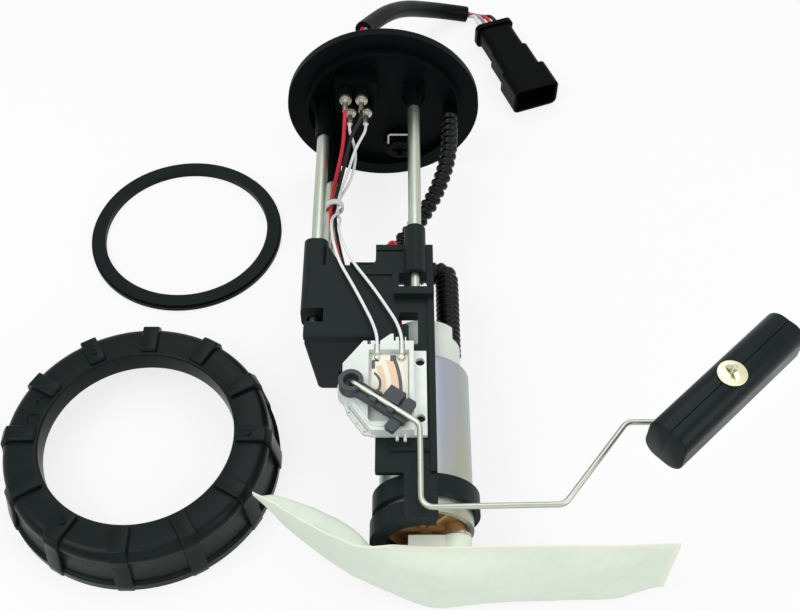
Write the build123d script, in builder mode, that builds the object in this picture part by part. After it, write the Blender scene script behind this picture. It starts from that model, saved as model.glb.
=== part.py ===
"""In-tank fuel pump module, lying on its side beside its tank seal and lock ring.

The origin is the centre of the flange's sealing face. The pump hangs from it along -Y, so a depth
below the flange is a distance along -Y. +X points to the float and +Z is up as the module lies.
All sizes are in millimetres.
"""

import os
from math import atan, cos, degrees, radians, sin, tan

from build123d import *

os.makedirs("parts", exist_ok=True)

# Clearances
fit_gap = 0.03
running_gap = 0.05
part_gap = 0.3

# Flange
flange_radius = 49.0
flange_thickness = 5.0
flange_edge_fillet = 1.2
seat_width = 9.0
spigot_wall = 1.8
spigot_height = 3.2
recess_depth = 1.2
collar_base_radius = 4.9
collar_end_radius = 4.0
collar_rib_reach = 8.0
collar_rib_thickness = 1.0
terminal_block_x = -13.4
terminal_block_z = 14.0
terminal_block_width = 21.0
terminal_block_height = 21.0
terminal_block_depth = 7.0
terminal_block_fillet = 1.0
stud_boss_radius = 3.6
stud_boss_height = 5.4
outlet_x = 34.0
outlet_z = -1.0
outlet_stem_radius = 3.95
outlet_stem_length = 22.0
outlet_bead_radius = 4.9
outlet_bead_width = 2.0
outlet_bore_radius = 1.9
hose_barb_radius = 3.0
hose_barb_length = 9.0
vent_x = 8.5
vent_z = -25.0
vent_boss_radius = 8.6
vent_boss_height = 3.0
harness_x = -14.0
harness_z = 14.0
harness_boss_radius = 8.0
harness_boss_height = 9.0

# Guide tubes
tube_radius = 3.0
tube_bore_radius = 2.2
tip_radius = 2.1
tip_bore_radius = 1.3
tip_recess = 6.0
tip_seat = 2.0
tube_top = 1.0
right_tube_x = 15.5
right_tube_z = 11.5
right_collar_length = 12.5
left_tube_x = -29.9
left_tube_z = 1.5
left_collar_length = 23.0
rear_tube_x = -26.0
rear_tube_z = -20.0
rear_collar_length = 35.0

# Rollover valve and its wire bail
valve_radius = 6.3
valve_depth = 5.5
valve_slot_width = 2.2
valve_slot_depth = 2.0
bail_wire_radius = 0.6
bail_width = 11.8
bail_height = 3.5
bail_rise = 8.1
bail_foot = 2.2
bail_foot_z = 4.4

# Terminals and leads
stud_radius = 1.5
stud_blind_depth = 3.0
stud_head_radius = 3.0
stud_head_thickness = 1.4
stud_pitch_x = 8.0
stud_pitch_z = 8.6
stud_skew = 2.0
lug_radius = 2.7
lug_thickness = 0.8
lug_barrel_radius = 1.4
lug_barrel_length = 6.8
lead_radius = 0.9
sender_lead_radius = 0.7
lead_stub = 4.5

# Pump
pump_x = 19.5
pump_z = -12.0
can_radius = 19.5
can_wall = 1.0
can_start = 157.5
can_length = 75.5
can_shoulder = 3.0
can_mouth_width = 2.9
can_lip_width = 1.1
can_lip_thickness = 0.8
insert_gap = 0.1
cap_neck_gap = 0.2
cap_height = 13.5
cap_tower_height = 6.0
cap_tower_floor_z = -8.0
cap_tower_edge = 1.0
cap_flange_height = 4.5
nozzle_edge = 1.2
nozzle_z = -16.0
nozzle_radius = 3.4
nozzle_length = 11.0
nozzle_bore_radius = 1.8
post_inset = 5.6
red_post_z = -11.0
black_post_z = -18.0
post_radius = 1.4
post_length = 9.0

# Motor and turbine stage
shaft_radius = 2.0
shaft_inset = 1.0
bush_radius = 3.8
bush_length = 4.5
commutator_radius = 5.5
commutator_length = 7.0
brush_holder_depth = 7.0
brush_size = 4.0
brush_length = 5.0
brush_spring_radius = 1.6
air_gap = 1.0
armature_slots = 8
armature_slot_width = 2.4
armature_slot_depth = 4.5
magnet_wall = 4.0
magnet_overhang = 1.0
magnet_gap_angle = 30.0
motor_space = 3.0
turbine_height = 22.5
turbine_space = 4.7
pump_plate_depth = 6.0
impeller_wall = 3.4
impeller_depth = 3.6
impeller_vanes = 24
impeller_vane_depth = 2.4
impeller_slot_width = 1.8
inlet_recess = 2.7
inlet_rib_count = 6
inlet_rib_thickness = 1.6
inlet_rim_width = 1.6
inlet_edge = 1.9
inlet_z = -12.5
inlet_radius = 4.5
inlet_bore_radius = 3.0
inlet_length = 10.5

# Non-return valve in the outlet
check_chamber_radius = 3.0
check_chamber_cover = 3.0
check_spring_room = 4.0
check_valve_length = 4.0
check_valve_travel = 2.0
check_port_radius = 1.2
spring_wire_radius = 0.35

# Holder
plate_thickness = 2.5
sleeve_width = 11.2
sleeve_corner = 4.0
left_sleeve_start = 96.0
left_sleeve_end = 136.0
right_sleeve_radius = 4.9
right_sleeve_start = 92.0
right_sleeve_end = 118.5
block_left = -2.3
holder_right = 23.7
block_drop = 8.0
block_depth_z = 6.2
plate_top = 112.0
plate_left = -25.0
gusset_top = 99.4
gusset_right = -17.7
step_corner = 3.5
plate_corner = 1.0
wing_end = 152.0
wing_edge = 1.8
lower_left = -1.4
strap_left = 10.3
window_left = 8.2
window_right = 20.7
block_height = 16.5
shelf_start = 127.0
shelf_thickness = 4.0
shelf_left = 6.0
shelf_lip = 4.0
skirt_left = 7.0
skirt_right = 18.5
skirt_low_z = -6.0
groove_depth = 0.8
groove_width = 1.3
upper_groove_drop = 3.0
upper_groove_right = 10.0
lower_groove_drop = 17.2
lower_groove_left = -6.4
lower_groove_right = 5.1
lower_groove_width = 3.2
slot_left = 8.0
slot_right = 16.5
slot_top = 138.5
slot_bottom = 155.5
slot_neck = 12.5
slot_knee = 145.0
bar_width = 2.8
bar_rise = 1.2
cross_bar_radius = 1.4
cross_bar_left = 4.5
cross_bar_right = 20.5
cross_bar_drop = 5.4
band_wall = 2.5
band_lead = 15.5
band_width = 8.8
band_mouth = 16.0
cradle_reach = 3.3
cradle_wall = 3.4
cradle_lip_width = 3.5
cradle_lip_thickness = 4.7
cradle_right = 23.0
rear_arm_start = 104.0
rear_arm_end = 124.0
rear_arm_half_width = 5.5
rail_depth = 96.0
rail_z = -16.0
rail_radius = 5.5
rail_left = -15.2
rail_right = 17.5
rail_web_left = 10.5
rail_web_right = 16.0
riser_x = 8.0
riser_barb_length = 5.0
duct_x = -10.0
duct_radius = 4.0

# Pressure regulator
box_left = -33.4
box_draft = 4.8
box_right = -5.0
box_back_z = -30.0
box_wing_start = 143.5
box_end = 152.3
tower_left = -30.0
tower_start = 128.0
tower_front_z = -5.5
box_edge_fillet = 2.5
cover_thickness = 2.0
cartridge_x = -17.0
cartridge_z = -17.0
cartridge_radius = 8.5
cartridge_start = 132.0
regulator_chamber_radius = 5.5
regulator_seat_depth = 3.0
regulator_port_radius = 1.6
regulator_valve_length = 3.0
regulator_cap_thickness = 2.8
regulator_return_radius = 2.0
regulator_spring_wire = 0.5

# Hoses
upper_hose_radius = 4.25
lower_hose_radius = 5.5
lower_hose_bend = 9.5

# Strainer
push_ring_radius = 6.2
push_ring_thickness = 1.2
neck_left = 12.0
neck_drop = 6.5
neck_length = 6.0
neck_radius = 6.4
neck_arm_height = 9.0
bag_right = 120.0
bag_left = -52.0
bag_top = -2.0
bag_sweep = 25.0
bag_bulge = 7.4

# Level sender
sender_left = -15.3
sender_top = 158.0
sender_length = 43.8
sender_right = 14.5
sender_shoulder_x = -6.8
sender_shoulder_drop = 11.5
sender_heel_drop = 26.0
sender_heel_x = -3.0
sender_height = 6.2
sender_strip_right = 19.9
sender_strip_drop = 2.4
sender_strip_thickness = 2.0
sender_strip_hole_radius = 2.0
sender_strip_hole_inset = 8.0
sender_floor = 2.7
pocket_left = -4.5
pocket_right = 12.6
pocket_top_wall = 4.5
pocket_bottom_wall = 4.0
sender_notch_width = 1.6
sender_notch_depth = 1.8
sender_notch_inset = 2.4
sender_crest_left = 0.4
sender_crest_right = 6.0
sender_crest_width = 1.3
sender_crest_rise = 3.6
sender_pad_left = 6.9
sender_pad_right = 11.3
sender_pad_rise = 1.9
card_left = -3.2
card_right = 12.0
card_inset = 1.5
card_length = 25.0
card_thickness = 1.2
left_solder_x = -1.0
right_solder_x = 9.5
solder_radius = 1.1
solder_length = 2.0
lead_slot_width = 2.6
pivot_x = -11.4
pivot_drop = 23.8
pivot_radius = 3.5
pivot_boss_radius = 5.8

# Float arm
hub_radius = 5.2
hub_height = 5.6
hub_well_radius = 3.3
hub_well_depth = 3.4
arm_length = 28.4
arm_width = 6.0
arm_thickness = 3.4
arm_reach_x = 28.0
arm_reach_depth = 20.2
tab_offset = 25.0
tab_width = 4.6
tab_span = 17.0
tab_thickness = 2.4
carrier_offset = 14.0
carrier_length = 7.5
carrier_reach = 9.0
jaw_length = 3.0
jaw_thickness = 1.4
jaw_rise = 2.2
contact_thickness = 0.4
contact_width = 2.2
wire_radius = 1.15
wire_bend = 5.0
wire_hub_bend = 2.4
wire_low_x = 16.7
wire_low_drop = 57.2
wire_run_x = 71.6
wire_run_drop = 56.0
wire_rise_x = 99.4
wire_rise_drop = 19.6
wire_under_x = 117.0
float_x = 137.6
float_drop = 11.7
float_length = 76.0
float_width = 18.0
float_height = 21.5
float_angle = 43.4
float_edge = 6.0
float_corner = 7.0
float_seam_width = 0.5
float_seam_depth = 0.4
push_nut_radius = 6.0
push_nut_thickness = 0.8
wire_tip = 3.0

# Harness
harness_sleeve_radius = 4.7
harness_lead_radius = 1.1
harness_lead_spacing = 2.6
harness_plunge = 2.0
grommet_radius = 5.4
grommet_length = 7.0
grommet_stand = 3.0
connector_x = 64.0
connector_y = 108.0
connector_turn = 68.9
connector_length = 61.0
connector_collar_width = 23.0
connector_collar_height = 15.0
connector_collar_length = 3.0
connector_body_width = 20.0
connector_body_height = 12.6
connector_step_width = 22.6
connector_step_height = 14.6
connector_step_start = 24.0
connector_mouth_width = 27.0
connector_mouth_height = 17.0
connector_mouth_start = 43.0
connector_wall = 1.6
connector_cavity = 25.0
connector_corner = 3.5
pin_radius = 0.8
pin_pitch = 5.0
pin_count = 4
pin_reach = 15.0
pin_root = 6.0
seal_depth = 7.0
seal_stand = 1.0
seal_margin = 3.0

# Tank seal and lock ring
seal_x = -103.2
seal_y = -44.3
seal_height = 3.5
seal_fit = 0.5
seal_width = 7.4
seal_step_width = 0.9
seal_step_height = 1.5
ring_x = -108.0
ring_y = -180.0
ring_height = 24.5
ring_skirt_radius = 62.0
ring_shoulder_radius = 58.0
ring_opening_radius = 43.0
ring_wall = 3.2
ring_lip_depth = 11.0
ring_lip_wall = 2.0
ring_bead_height = 4.0
ring_bead_rise = 1.6
ring_shoulder_height = 6.0
ring_rib_count = 12
ring_rib_width = 7.5
ring_rib_rise = 2.2
ring_rib_inset = 1.5
ring_dimple_radius = 3.0
ring_dimple_inset = 4.5
ring_dimple_depth = 0.9

# Places worked out from the sizes
floor_z = -flange_radius
spigot_radius = flange_radius - seat_width
recess_radius = spigot_radius - spigot_wall
can_end = can_start + can_length
cap_seat = can_start + can_wall
cap_flange_depth = cap_seat + cap_flange_height
cap_start = can_start - cap_height
cap_tower_start = cap_start - cap_tower_height
nozzle_start = cap_start - nozzle_length
post_start = cap_start - post_length
check_chamber_start = cap_start + check_chamber_cover
check_chamber_end = check_chamber_start + check_spring_room + check_valve_travel + check_valve_length
shaft_start = cap_flange_depth - bush_length + shaft_inset
commutator_start = cap_flange_depth + part_gap
armature_start = commutator_start + commutator_length + motor_space
pump_plate_start = can_end - turbine_height
armature_length = pump_plate_start - armature_start - turbine_space
magnet_length = armature_length + 2 * magnet_overhang
inlet_face_depth = can_end - can_lip_thickness - inlet_recess
neck_start = inlet_face_depth + neck_drop
push_ring_start = neck_start - push_ring_thickness - part_gap
bag_back = neck_start + neck_length
band_start = can_end - band_lead
plate_end = band_start + part_gap
cradle_start = can_end - cradle_reach
holder_bottom = can_end + cradle_lip_thickness
sender_bottom = sender_top + sender_length
sender_shoulder_depth = sender_top + sender_shoulder_drop
sender_heel_depth = sender_top + sender_heel_drop
pocket_top = sender_top + pocket_top_wall
pocket_bottom = sender_bottom - pocket_bottom_wall
card_top = pocket_top + card_inset
card_bottom = card_top + card_length
pivot_depth = sender_top + pivot_drop
wire_low_depth = pivot_depth + wire_low_drop
wire_run_depth = pivot_depth + wire_run_drop
wire_rise_depth = pivot_depth + wire_rise_drop
float_depth = pivot_depth + float_drop
stud_seat = terminal_block_depth + stud_boss_height
can_inner = can_radius - can_wall
insert_radius = can_inner - insert_gap
can_mouth_radius = can_radius - can_mouth_width
cap_radius = can_mouth_radius - part_gap - cap_neck_gap
nozzle_x = pump_x + cap_radius - nozzle_radius - nozzle_edge
cap_tower_right_x = nozzle_x + cap_tower_edge
post_x = pump_x - cap_radius + post_inset
armature_radius = insert_radius - magnet_wall - air_gap
impeller_radius = insert_radius - impeller_wall
inlet_x = pump_x + insert_radius - inlet_radius - inlet_edge
cradle_lip_inner = can_radius - cradle_lip_width
block_top = right_sleeve_start + block_drop
window_top = block_top + block_height
plate_back = pump_z + can_radius + 2 * part_gap
plate_front = plate_back + plate_thickness
pump_axis = Axis((pump_x, 0, pump_z), (0, 1, 0))
pump_plane = Plane((pump_x, 0, pump_z))
upper_hose_start = spigot_height + part_gap
lug_end = stud_seat + stud_head_thickness + lug_thickness + lug_barrel_length
sender_face = plate_front + sender_height
card_top_z = plate_front + sender_floor + card_thickness
arm_under = sender_face + part_gap + contact_thickness
arm_top = arm_under + arm_thickness
wire_z = arm_top + wire_radius + running_gap
float_bottom = wire_z + wire_radius + part_gap
float_top = float_bottom + float_height
arm_angle = -degrees(atan(arm_reach_depth / arm_reach_x))


def station(depth):
    """Plane square to the pump's axis at a depth below the sealing face; extrusions go deeper."""
    return Plane.XZ.offset(depth)


def spoke(x, z, angle):
    """Plane through an axis along Y at x, z: local x runs outwards at the angle, local y along Y."""
    outward = (cos(radians(angle)), 0, sin(radians(angle)))
    return Plane((x, 0, z), x_dir=outward, z_dir=(-outward[2], 0, outward[0]))


def route_radii(points):
    """Largest tangent arc at each corner of a route, as its shorter run allows."""
    corners = []
    for before, corner, after in zip(points, points[1:], points[2:]):
        run_in = Vector(*corner) - Vector(*before)
        run_out = Vector(*after) - Vector(*corner)
        half_turn = radians(run_in.get_angle(run_out)) / 2
        corners.append(0.45 * min(run_in.length, run_out.length) / tan(half_turn))
    return corners


def sweep_route(points, outer, bore=0.0, bends=None):
    """Sweep a round section along straight runs joined by tangent arcs, inside the open part."""
    with BuildLine() as route:
        FilletPolyline(*points, radius=bends or route_radii(points))
    with BuildSketch(Plane(route.line @ 0, z_dir=route.line % 0)) as section:
        Circle(outer)
        if bore:
            Circle(bore, mode=Mode.SUBTRACT)
    sweep(section.sketch, path=route.line)


def report_route(node, points, radius):
    """Print the arcs of a route beside its diameter."""
    arcs = ", ".join(f"{arc:.1f}" for arc in route_radii(points))
    print(f"{node}: diameter {2 * radius:.1f}, arcs {arcs}")


def coil(x, z, start, end, turn_radius, wire, turns):
    """Helical spring along the pump's direction between two depths, inside the open part."""
    rise = end - start - 2 * wire
    with BuildLine() as turns_line:
        Helix(rise / turns, rise, turn_radius, center=(x, -start - wire, z), direction=(0, -1, 0))
    with BuildSketch(Plane(turns_line.line @ 0, z_dir=turns_line.line % 0)) as section:
        RegularPolygon(wire, 6)
    sweep(section.sketch, path=turns_line.line, is_frenet=True)


def rib_room(x, z, angle):
    """Reach of a collar's rib at an angle, kept inside the spigot's wall."""
    outward = x * cos(radians(angle)) + z * sin(radians(angle))
    wall = max(outward**2 - x**2 - z**2 + recess_radius**2, 0) ** 0.5 - outward
    return max(min(collar_rib_reach, wall), collar_base_radius)


def write(piece, node):
    """Label a finished piece and write it to a STEP file of its own."""
    piece.part.label = node
    export_step(piece.part, f"parts/{node}.step")


# Flange: plate, spigot, tube collars, terminal block, outlet stem, vent boss and harness boss
collars = (
    (right_tube_x, right_tube_z, right_collar_length),
    (left_tube_x, left_tube_z, left_collar_length),
    (rear_tube_x, rear_tube_z, rear_collar_length),
)
stud_places = [
    (
        terminal_block_x + (column * stud_pitch_x + row * stud_skew) / 2,
        terminal_block_z - row * stud_pitch_z / 2,
    )
    for row in (-1, 1)
    for column in (-1, 1)
]
stem_end = flange_thickness + outlet_stem_length

with BuildPart() as flange:
    with BuildSketch(station(-flange_thickness)):
        Circle(flange_radius)
    extrude(amount=flange_thickness)
    fillet(flange.edges().sort_by(Axis.Y)[-1], flange_edge_fillet)
    with BuildSketch(station(0)):
        Circle(spigot_radius)
        Circle(recess_radius, mode=Mode.SUBTRACT)
    extrude(amount=spigot_height)
    with BuildSketch(station(-recess_depth)):
        Circle(recess_radius)
    extrude(amount=recess_depth, mode=Mode.SUBTRACT)
    for collar_x, collar_z, collar_length in collars:
        collar_height = recess_depth + collar_length
        collar_taper = degrees(atan((collar_base_radius - collar_end_radius) / collar_height))
        with BuildSketch(station(-recess_depth)):
            with Locations((collar_x, collar_z)):
                Circle(collar_base_radius)
        extrude(amount=collar_height, taper=collar_taper)
        for rib_angle in (45, 135, 225, 315):
            with BuildSketch(spoke(collar_x, collar_z, rib_angle)):
                Polygon(
                    (0, recess_depth),
                    (rib_room(collar_x, collar_z, rib_angle), recess_depth),
                    (collar_end_radius, -collar_length * 0.8),
                    (0, -collar_length * 0.8),
                    align=None,
                )
            extrude(amount=collar_rib_thickness / 2, both=True)
    with BuildSketch(station(-recess_depth)):
        with Locations((terminal_block_x, terminal_block_z)):
            RectangleRounded(terminal_block_width, terminal_block_height, terminal_block_fillet)
    extrude(amount=recess_depth + terminal_block_depth)
    with BuildSketch(station(terminal_block_depth)):
        with Locations(*stud_places):
            Circle(stud_boss_radius)
    extrude(amount=stud_boss_height)
    with BuildSketch(station(-recess_depth)):
        with Locations((vent_x, vent_z)):
            Circle(vent_boss_radius)
    extrude(amount=recess_depth + vent_boss_height)
    with BuildSketch(station(-recess_depth)):
        with Locations((outlet_x, outlet_z)):
            Circle(hose_barb_radius)
    extrude(amount=recess_depth + hose_barb_length)
    with BuildSketch(station(-stem_end)):
        with Locations((outlet_x, outlet_z)):
            Circle(outlet_stem_radius)
    extrude(amount=outlet_stem_length)
    with BuildSketch(station(-flange_thickness - outlet_bead_width)):
        with Locations((outlet_x, outlet_z)):
            Circle(outlet_bead_radius)
    extrude(amount=outlet_bead_width)
    with BuildSketch(station(-flange_thickness - harness_boss_height)):
        with Locations((harness_x, harness_z)):
            Circle(harness_boss_radius)
    extrude(amount=harness_boss_height)
    with BuildSketch(station(-stem_end)):
        with Locations((outlet_x, outlet_z)):
            Circle(outlet_bore_radius)
    extrude(amount=stem_end + hose_barb_length, mode=Mode.SUBTRACT)
    for collar_x, collar_z, collar_length in collars:
        with BuildSketch(station(tube_top)):
            with Locations((collar_x, collar_z)):
                Circle(tube_radius + fit_gap)
        extrude(amount=collar_length - tube_top, mode=Mode.SUBTRACT)
    with BuildSketch(station(-stud_blind_depth)):
        with Locations(*stud_places):
            Circle(stud_radius + fit_gap)
    extrude(amount=stud_blind_depth + stud_seat, mode=Mode.SUBTRACT)
    with BuildSketch(station(-recess_depth)):
        with Locations((vent_x, vent_z)):
            Circle(valve_radius + fit_gap)
    extrude(amount=recess_depth + vent_boss_height, mode=Mode.SUBTRACT)
    with BuildSketch(station(-flange_thickness - harness_boss_height)):
        with Locations((harness_x, harness_z)):
            Circle(grommet_radius + fit_gap)
    extrude(amount=grommet_length - grommet_stand, mode=Mode.SUBTRACT)
write(flange, "flange")

# Guide tubes: drawn in at the lower end, where the tip seats in the shelf or the regulator box
tubes = {
    "guide_tube_right": (right_tube_x, right_tube_z, right_sleeve_end - tip_recess, shelf_start + tip_seat),
    "guide_tube_left": (left_tube_x, left_tube_z, left_sleeve_end - tip_recess, box_wing_start + tip_seat),
    "guide_tube_rear": (rear_tube_x, rear_tube_z, rear_arm_end - tip_recess, tower_start + tip_seat),
}
for tube_node, (tube_x, tube_z, neck_depth, tip_end) in tubes.items():
    with BuildPart() as guide_tube:
        with BuildSketch(Plane((tube_x, 0, tube_z))):
            Polygon(
                (tube_bore_radius, -tube_top),
                (tube_radius, -tube_top),
                (tube_radius, -neck_depth),
                (tip_radius, -neck_depth - tube_radius + tip_radius),
                (tip_radius, -tip_end),
                (tip_bore_radius, -tip_end),
                (tip_bore_radius, -neck_depth),
                (tube_bore_radius, -neck_depth + tube_bore_radius - tip_bore_radius),
                align=None,
            )
        revolve(axis=Axis((tube_x, 0, tube_z), (0, 1, 0)))
    write(guide_tube, tube_node)

# Rollover valve in its boss, and the wire bail that holds it
with BuildPart() as rollover_valve:
    with BuildSketch(station(-recess_depth)):
        with Locations((vent_x, vent_z)):
            Circle(valve_radius)
    extrude(amount=recess_depth + valve_depth)
    with BuildSketch(station(valve_depth - valve_slot_depth)):
        with Locations((vent_x, vent_z)):
            Rectangle(valve_radius * 1.2, valve_slot_width)
            Rectangle(valve_slot_width, valve_radius * 1.2)
    extrude(amount=valve_slot_depth, mode=Mode.SUBTRACT)
    fillet(rollover_valve.edges().filter_by(GeomType.CIRCLE).sort_by(Axis.Y)[0], valve_slot_depth / 4)
write(rollover_valve, "rollover_valve")

bail_z = vent_z + bail_foot_z
bail_top = -vent_boss_height - bail_height
bail_points = (
    (vent_x - bail_width / 2, -vent_boss_height, bail_z),
    (vent_x - bail_width / 2, -vent_boss_height - bail_foot, bail_z),
    (vent_x - bail_width / 2, bail_top, bail_z + bail_rise),
    (vent_x + bail_width / 2, bail_top, bail_z + bail_rise),
    (vent_x + bail_width / 2, -vent_boss_height - bail_foot, bail_z),
    (vent_x + bail_width / 2, -vent_boss_height, bail_z),
)
with BuildPart() as valve_clip:
    sweep_route(bail_points, bail_wire_radius, bends=4 * [2 * bail_wire_radius])
write(valve_clip, "valve_clip")

# Terminals: four studs in the block and the crimped lugs on them
with BuildPart() as terminal_studs:
    with BuildSketch(station(-stud_blind_depth)):
        with Locations(*stud_places):
            Circle(stud_radius)
    extrude(amount=stud_blind_depth + stud_seat)
    with BuildSketch(station(stud_seat)):
        with Locations(*stud_places):
            Circle(stud_head_radius)
    extrude(amount=stud_head_thickness)
write(terminal_studs, "terminal_studs")

lug_start = stud_seat + stud_head_thickness
with BuildPart() as ring_terminals:
    with BuildSketch(station(lug_start)):
        with Locations(*stud_places):
            Circle(lug_radius)
    extrude(amount=lug_thickness)
    with BuildSketch(station(lug_start + lug_thickness)):
        with Locations(*stud_places):
            Circle(lug_barrel_radius)
    extrude(amount=lug_barrel_length)
write(ring_terminals, "ring_terminals")

# Leads from the terminals: two to the pump, two to the sender, all through the tie at the rear tube
(red_stud, black_stud, left_stud, right_stud) = stud_places
solder_z = card_top_z + solder_radius
tie_depth = 53.0
tie_start = tie_depth - 5
tie_end = tie_depth + 5


def lead_place(share):
    """Place along Y of a sender lead at a share of its way from the tie to the card."""
    return -tie_depth - share * (card_top - 2 * lead_stub - tie_depth)


lead_routes = {
    "red_wire": [
        (red_stud[0], -lug_end, red_stud[1]),
        (red_stud[0], -lug_end - lead_stub, red_stud[1]),
        (-19.3, -33, 7),
        (-22.8, -41, -6),
        (-25.85, -tie_start, -15.75),
        (-25.85, -tie_end, -15.75),
        (-25.2, -72, -11.5),
        (-20.6, -93, -3.5),
        (-18.6, -108, 0.2),
        (-14.5, -116, -1.4),
        (-8, -113, -2.2),
        (-1.5, -104, -2),
        (2.4, -rail_depth + 3, 0),
        (5.4, -rail_depth + 6.6, 1.2),
        (8, -rail_depth + 2, -0.2),
        (7.8, -105, -2.4),
        (6.9, -114, -3.4),
        (7.6, -122, -7.6),
        (post_x, -post_start + lead_stub, red_post_z),
        (post_x, -post_start, red_post_z),
    ],
    "black_wire": [
        (black_stud[0], -lug_end, black_stud[1]),
        (black_stud[0], -lug_end - lead_stub, black_stud[1]),
        (-15.6, -31, 10.8),
        (-19.9, -40.5, -5.5),
        (-23.75, -tie_start, -16.4),
        (-23.75, -tie_end, -16.4),
        (-22.4, -72, -16),
        (-18.6, -94, -10),
        (-15, -110, -4.6),
        (-8, -119, -4.8),
        (-0.5, -124, -9),
        (6, -126, -15),
        (post_x, -post_start + lead_stub, black_post_z),
        (post_x, -post_start, black_post_z),
    ],
    "white_wire_left": [
        (right_stud[0], -lug_end, right_stud[1]),
        (right_stud[0], -lug_end - lead_stub, right_stud[1]),
        (-13.5, -33, 4),
        (-17.4, -41, -5),
        (-22.2, -tie_start, -15.2),
        (-22.2, -tie_end, -15.2),
        (-24.4, lead_place(0.15), -7.5),
        (-23.6, lead_place(0.31), 5),
        (-22, lead_place(0.45), plate_front + 2 * sender_lead_radius),
        (-19, lead_place(0.57), plate_front + 3 * sender_lead_radius),
        (-11, lead_place(0.735), plate_front + 4 * sender_lead_radius),
        (-3.4, lead_place(0.91), plate_front + 5 * sender_lead_radius),
        (left_solder_x, -card_top + 2 * lead_stub, solder_z),
        (left_solder_x, -card_top, solder_z),
    ],
    "white_wire_right": [
        (left_stud[0], -lug_end, left_stud[1]),
        (left_stud[0], -lug_end - lead_stub, left_stud[1]),
        (-13, -32, 0.5),
        (-15.2, -41, -9),
        (-22.4, -tie_start, -18.1),
        (-22.4, -tie_end, -18.1),
        (-20.4, lead_place(0.13), -10),
        (-20.4, lead_place(0.31), 4),
        (-17.6, lead_place(0.46), plate_front + 2 * sender_lead_radius),
        (-13, lead_place(0.57), plate_front + 3 * sender_lead_radius),
        (-2.4, lead_place(0.735), plate_front + 4 * sender_lead_radius),
        (7.1, lead_place(0.91), plate_front + 5 * sender_lead_radius),
        (right_solder_x, -card_top + 2 * lead_stub, solder_z),
        (right_solder_x, -card_top, solder_z),
    ],
}
lead_radii = {
    "red_wire": lead_radius,
    "black_wire": lead_radius,
    "white_wire_left": sender_lead_radius,
    "white_wire_right": sender_lead_radius,
}
for lead_node, lead_points in lead_routes.items():
    report_route(lead_node, lead_points, lead_radii[lead_node])
    with BuildPart() as lead:
        sweep_route(lead_points, lead_radii[lead_node])
    write(lead, lead_node)

# Cable tie: a band round the rear tube and the bundle of leads beside it
tie_half_width = 1.4
tie_wall = 0.9
tie_bundle_x = -23.8
tie_bundle_z = -16.7
tie_reach = 3.6
with BuildPart() as cable_tie:
    with BuildSketch(station(tie_depth - tie_half_width)):
        with BuildSketch(mode=Mode.PRIVATE) as tie_core:
            with Locations((rear_tube_x, rear_tube_z)):
                Circle(tube_radius + part_gap)
            with Locations((tie_bundle_x, tie_bundle_z)):
                Circle(tie_reach)
            make_hull()
        offset(tie_core.sketch, amount=tie_wall)
        add(tie_core.sketch, mode=Mode.SUBTRACT)
    extrude(amount=2 * tie_half_width)
write(cable_tie, "cable_tie")

# Pump can: drawn shoulder at the outlet end, rolled lip at the inlet end
with BuildPart() as pump_can:
    with BuildSketch(pump_plane):
        with BuildLine():
            Polyline(
                (can_radius, -can_start - can_shoulder),
                (can_radius, -can_end),
                (can_inner - can_lip_width, -can_end),
                (can_inner - can_lip_width, -can_end + can_lip_thickness),
                (can_inner, -can_end + can_lip_thickness),
                (can_inner, -can_start - can_shoulder),
            )
            RadiusArc(
                (can_inner, -can_start - can_shoulder),
                (can_inner + can_wall - can_shoulder, -can_start - can_wall),
                can_shoulder - can_wall,
            )
            Polyline(
                (can_inner + can_wall - can_shoulder, -can_start - can_wall),
                (can_mouth_radius - part_gap, -can_start - can_wall),
                (can_mouth_radius - part_gap, -can_start),
                (can_radius - can_shoulder, -can_start),
            )
            RadiusArc(
                (can_radius - can_shoulder, -can_start),
                (can_radius, -can_start - can_shoulder),
                can_shoulder,
            )
        make_face()
    revolve(axis=pump_axis)
write(pump_can, "pump_can")

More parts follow.
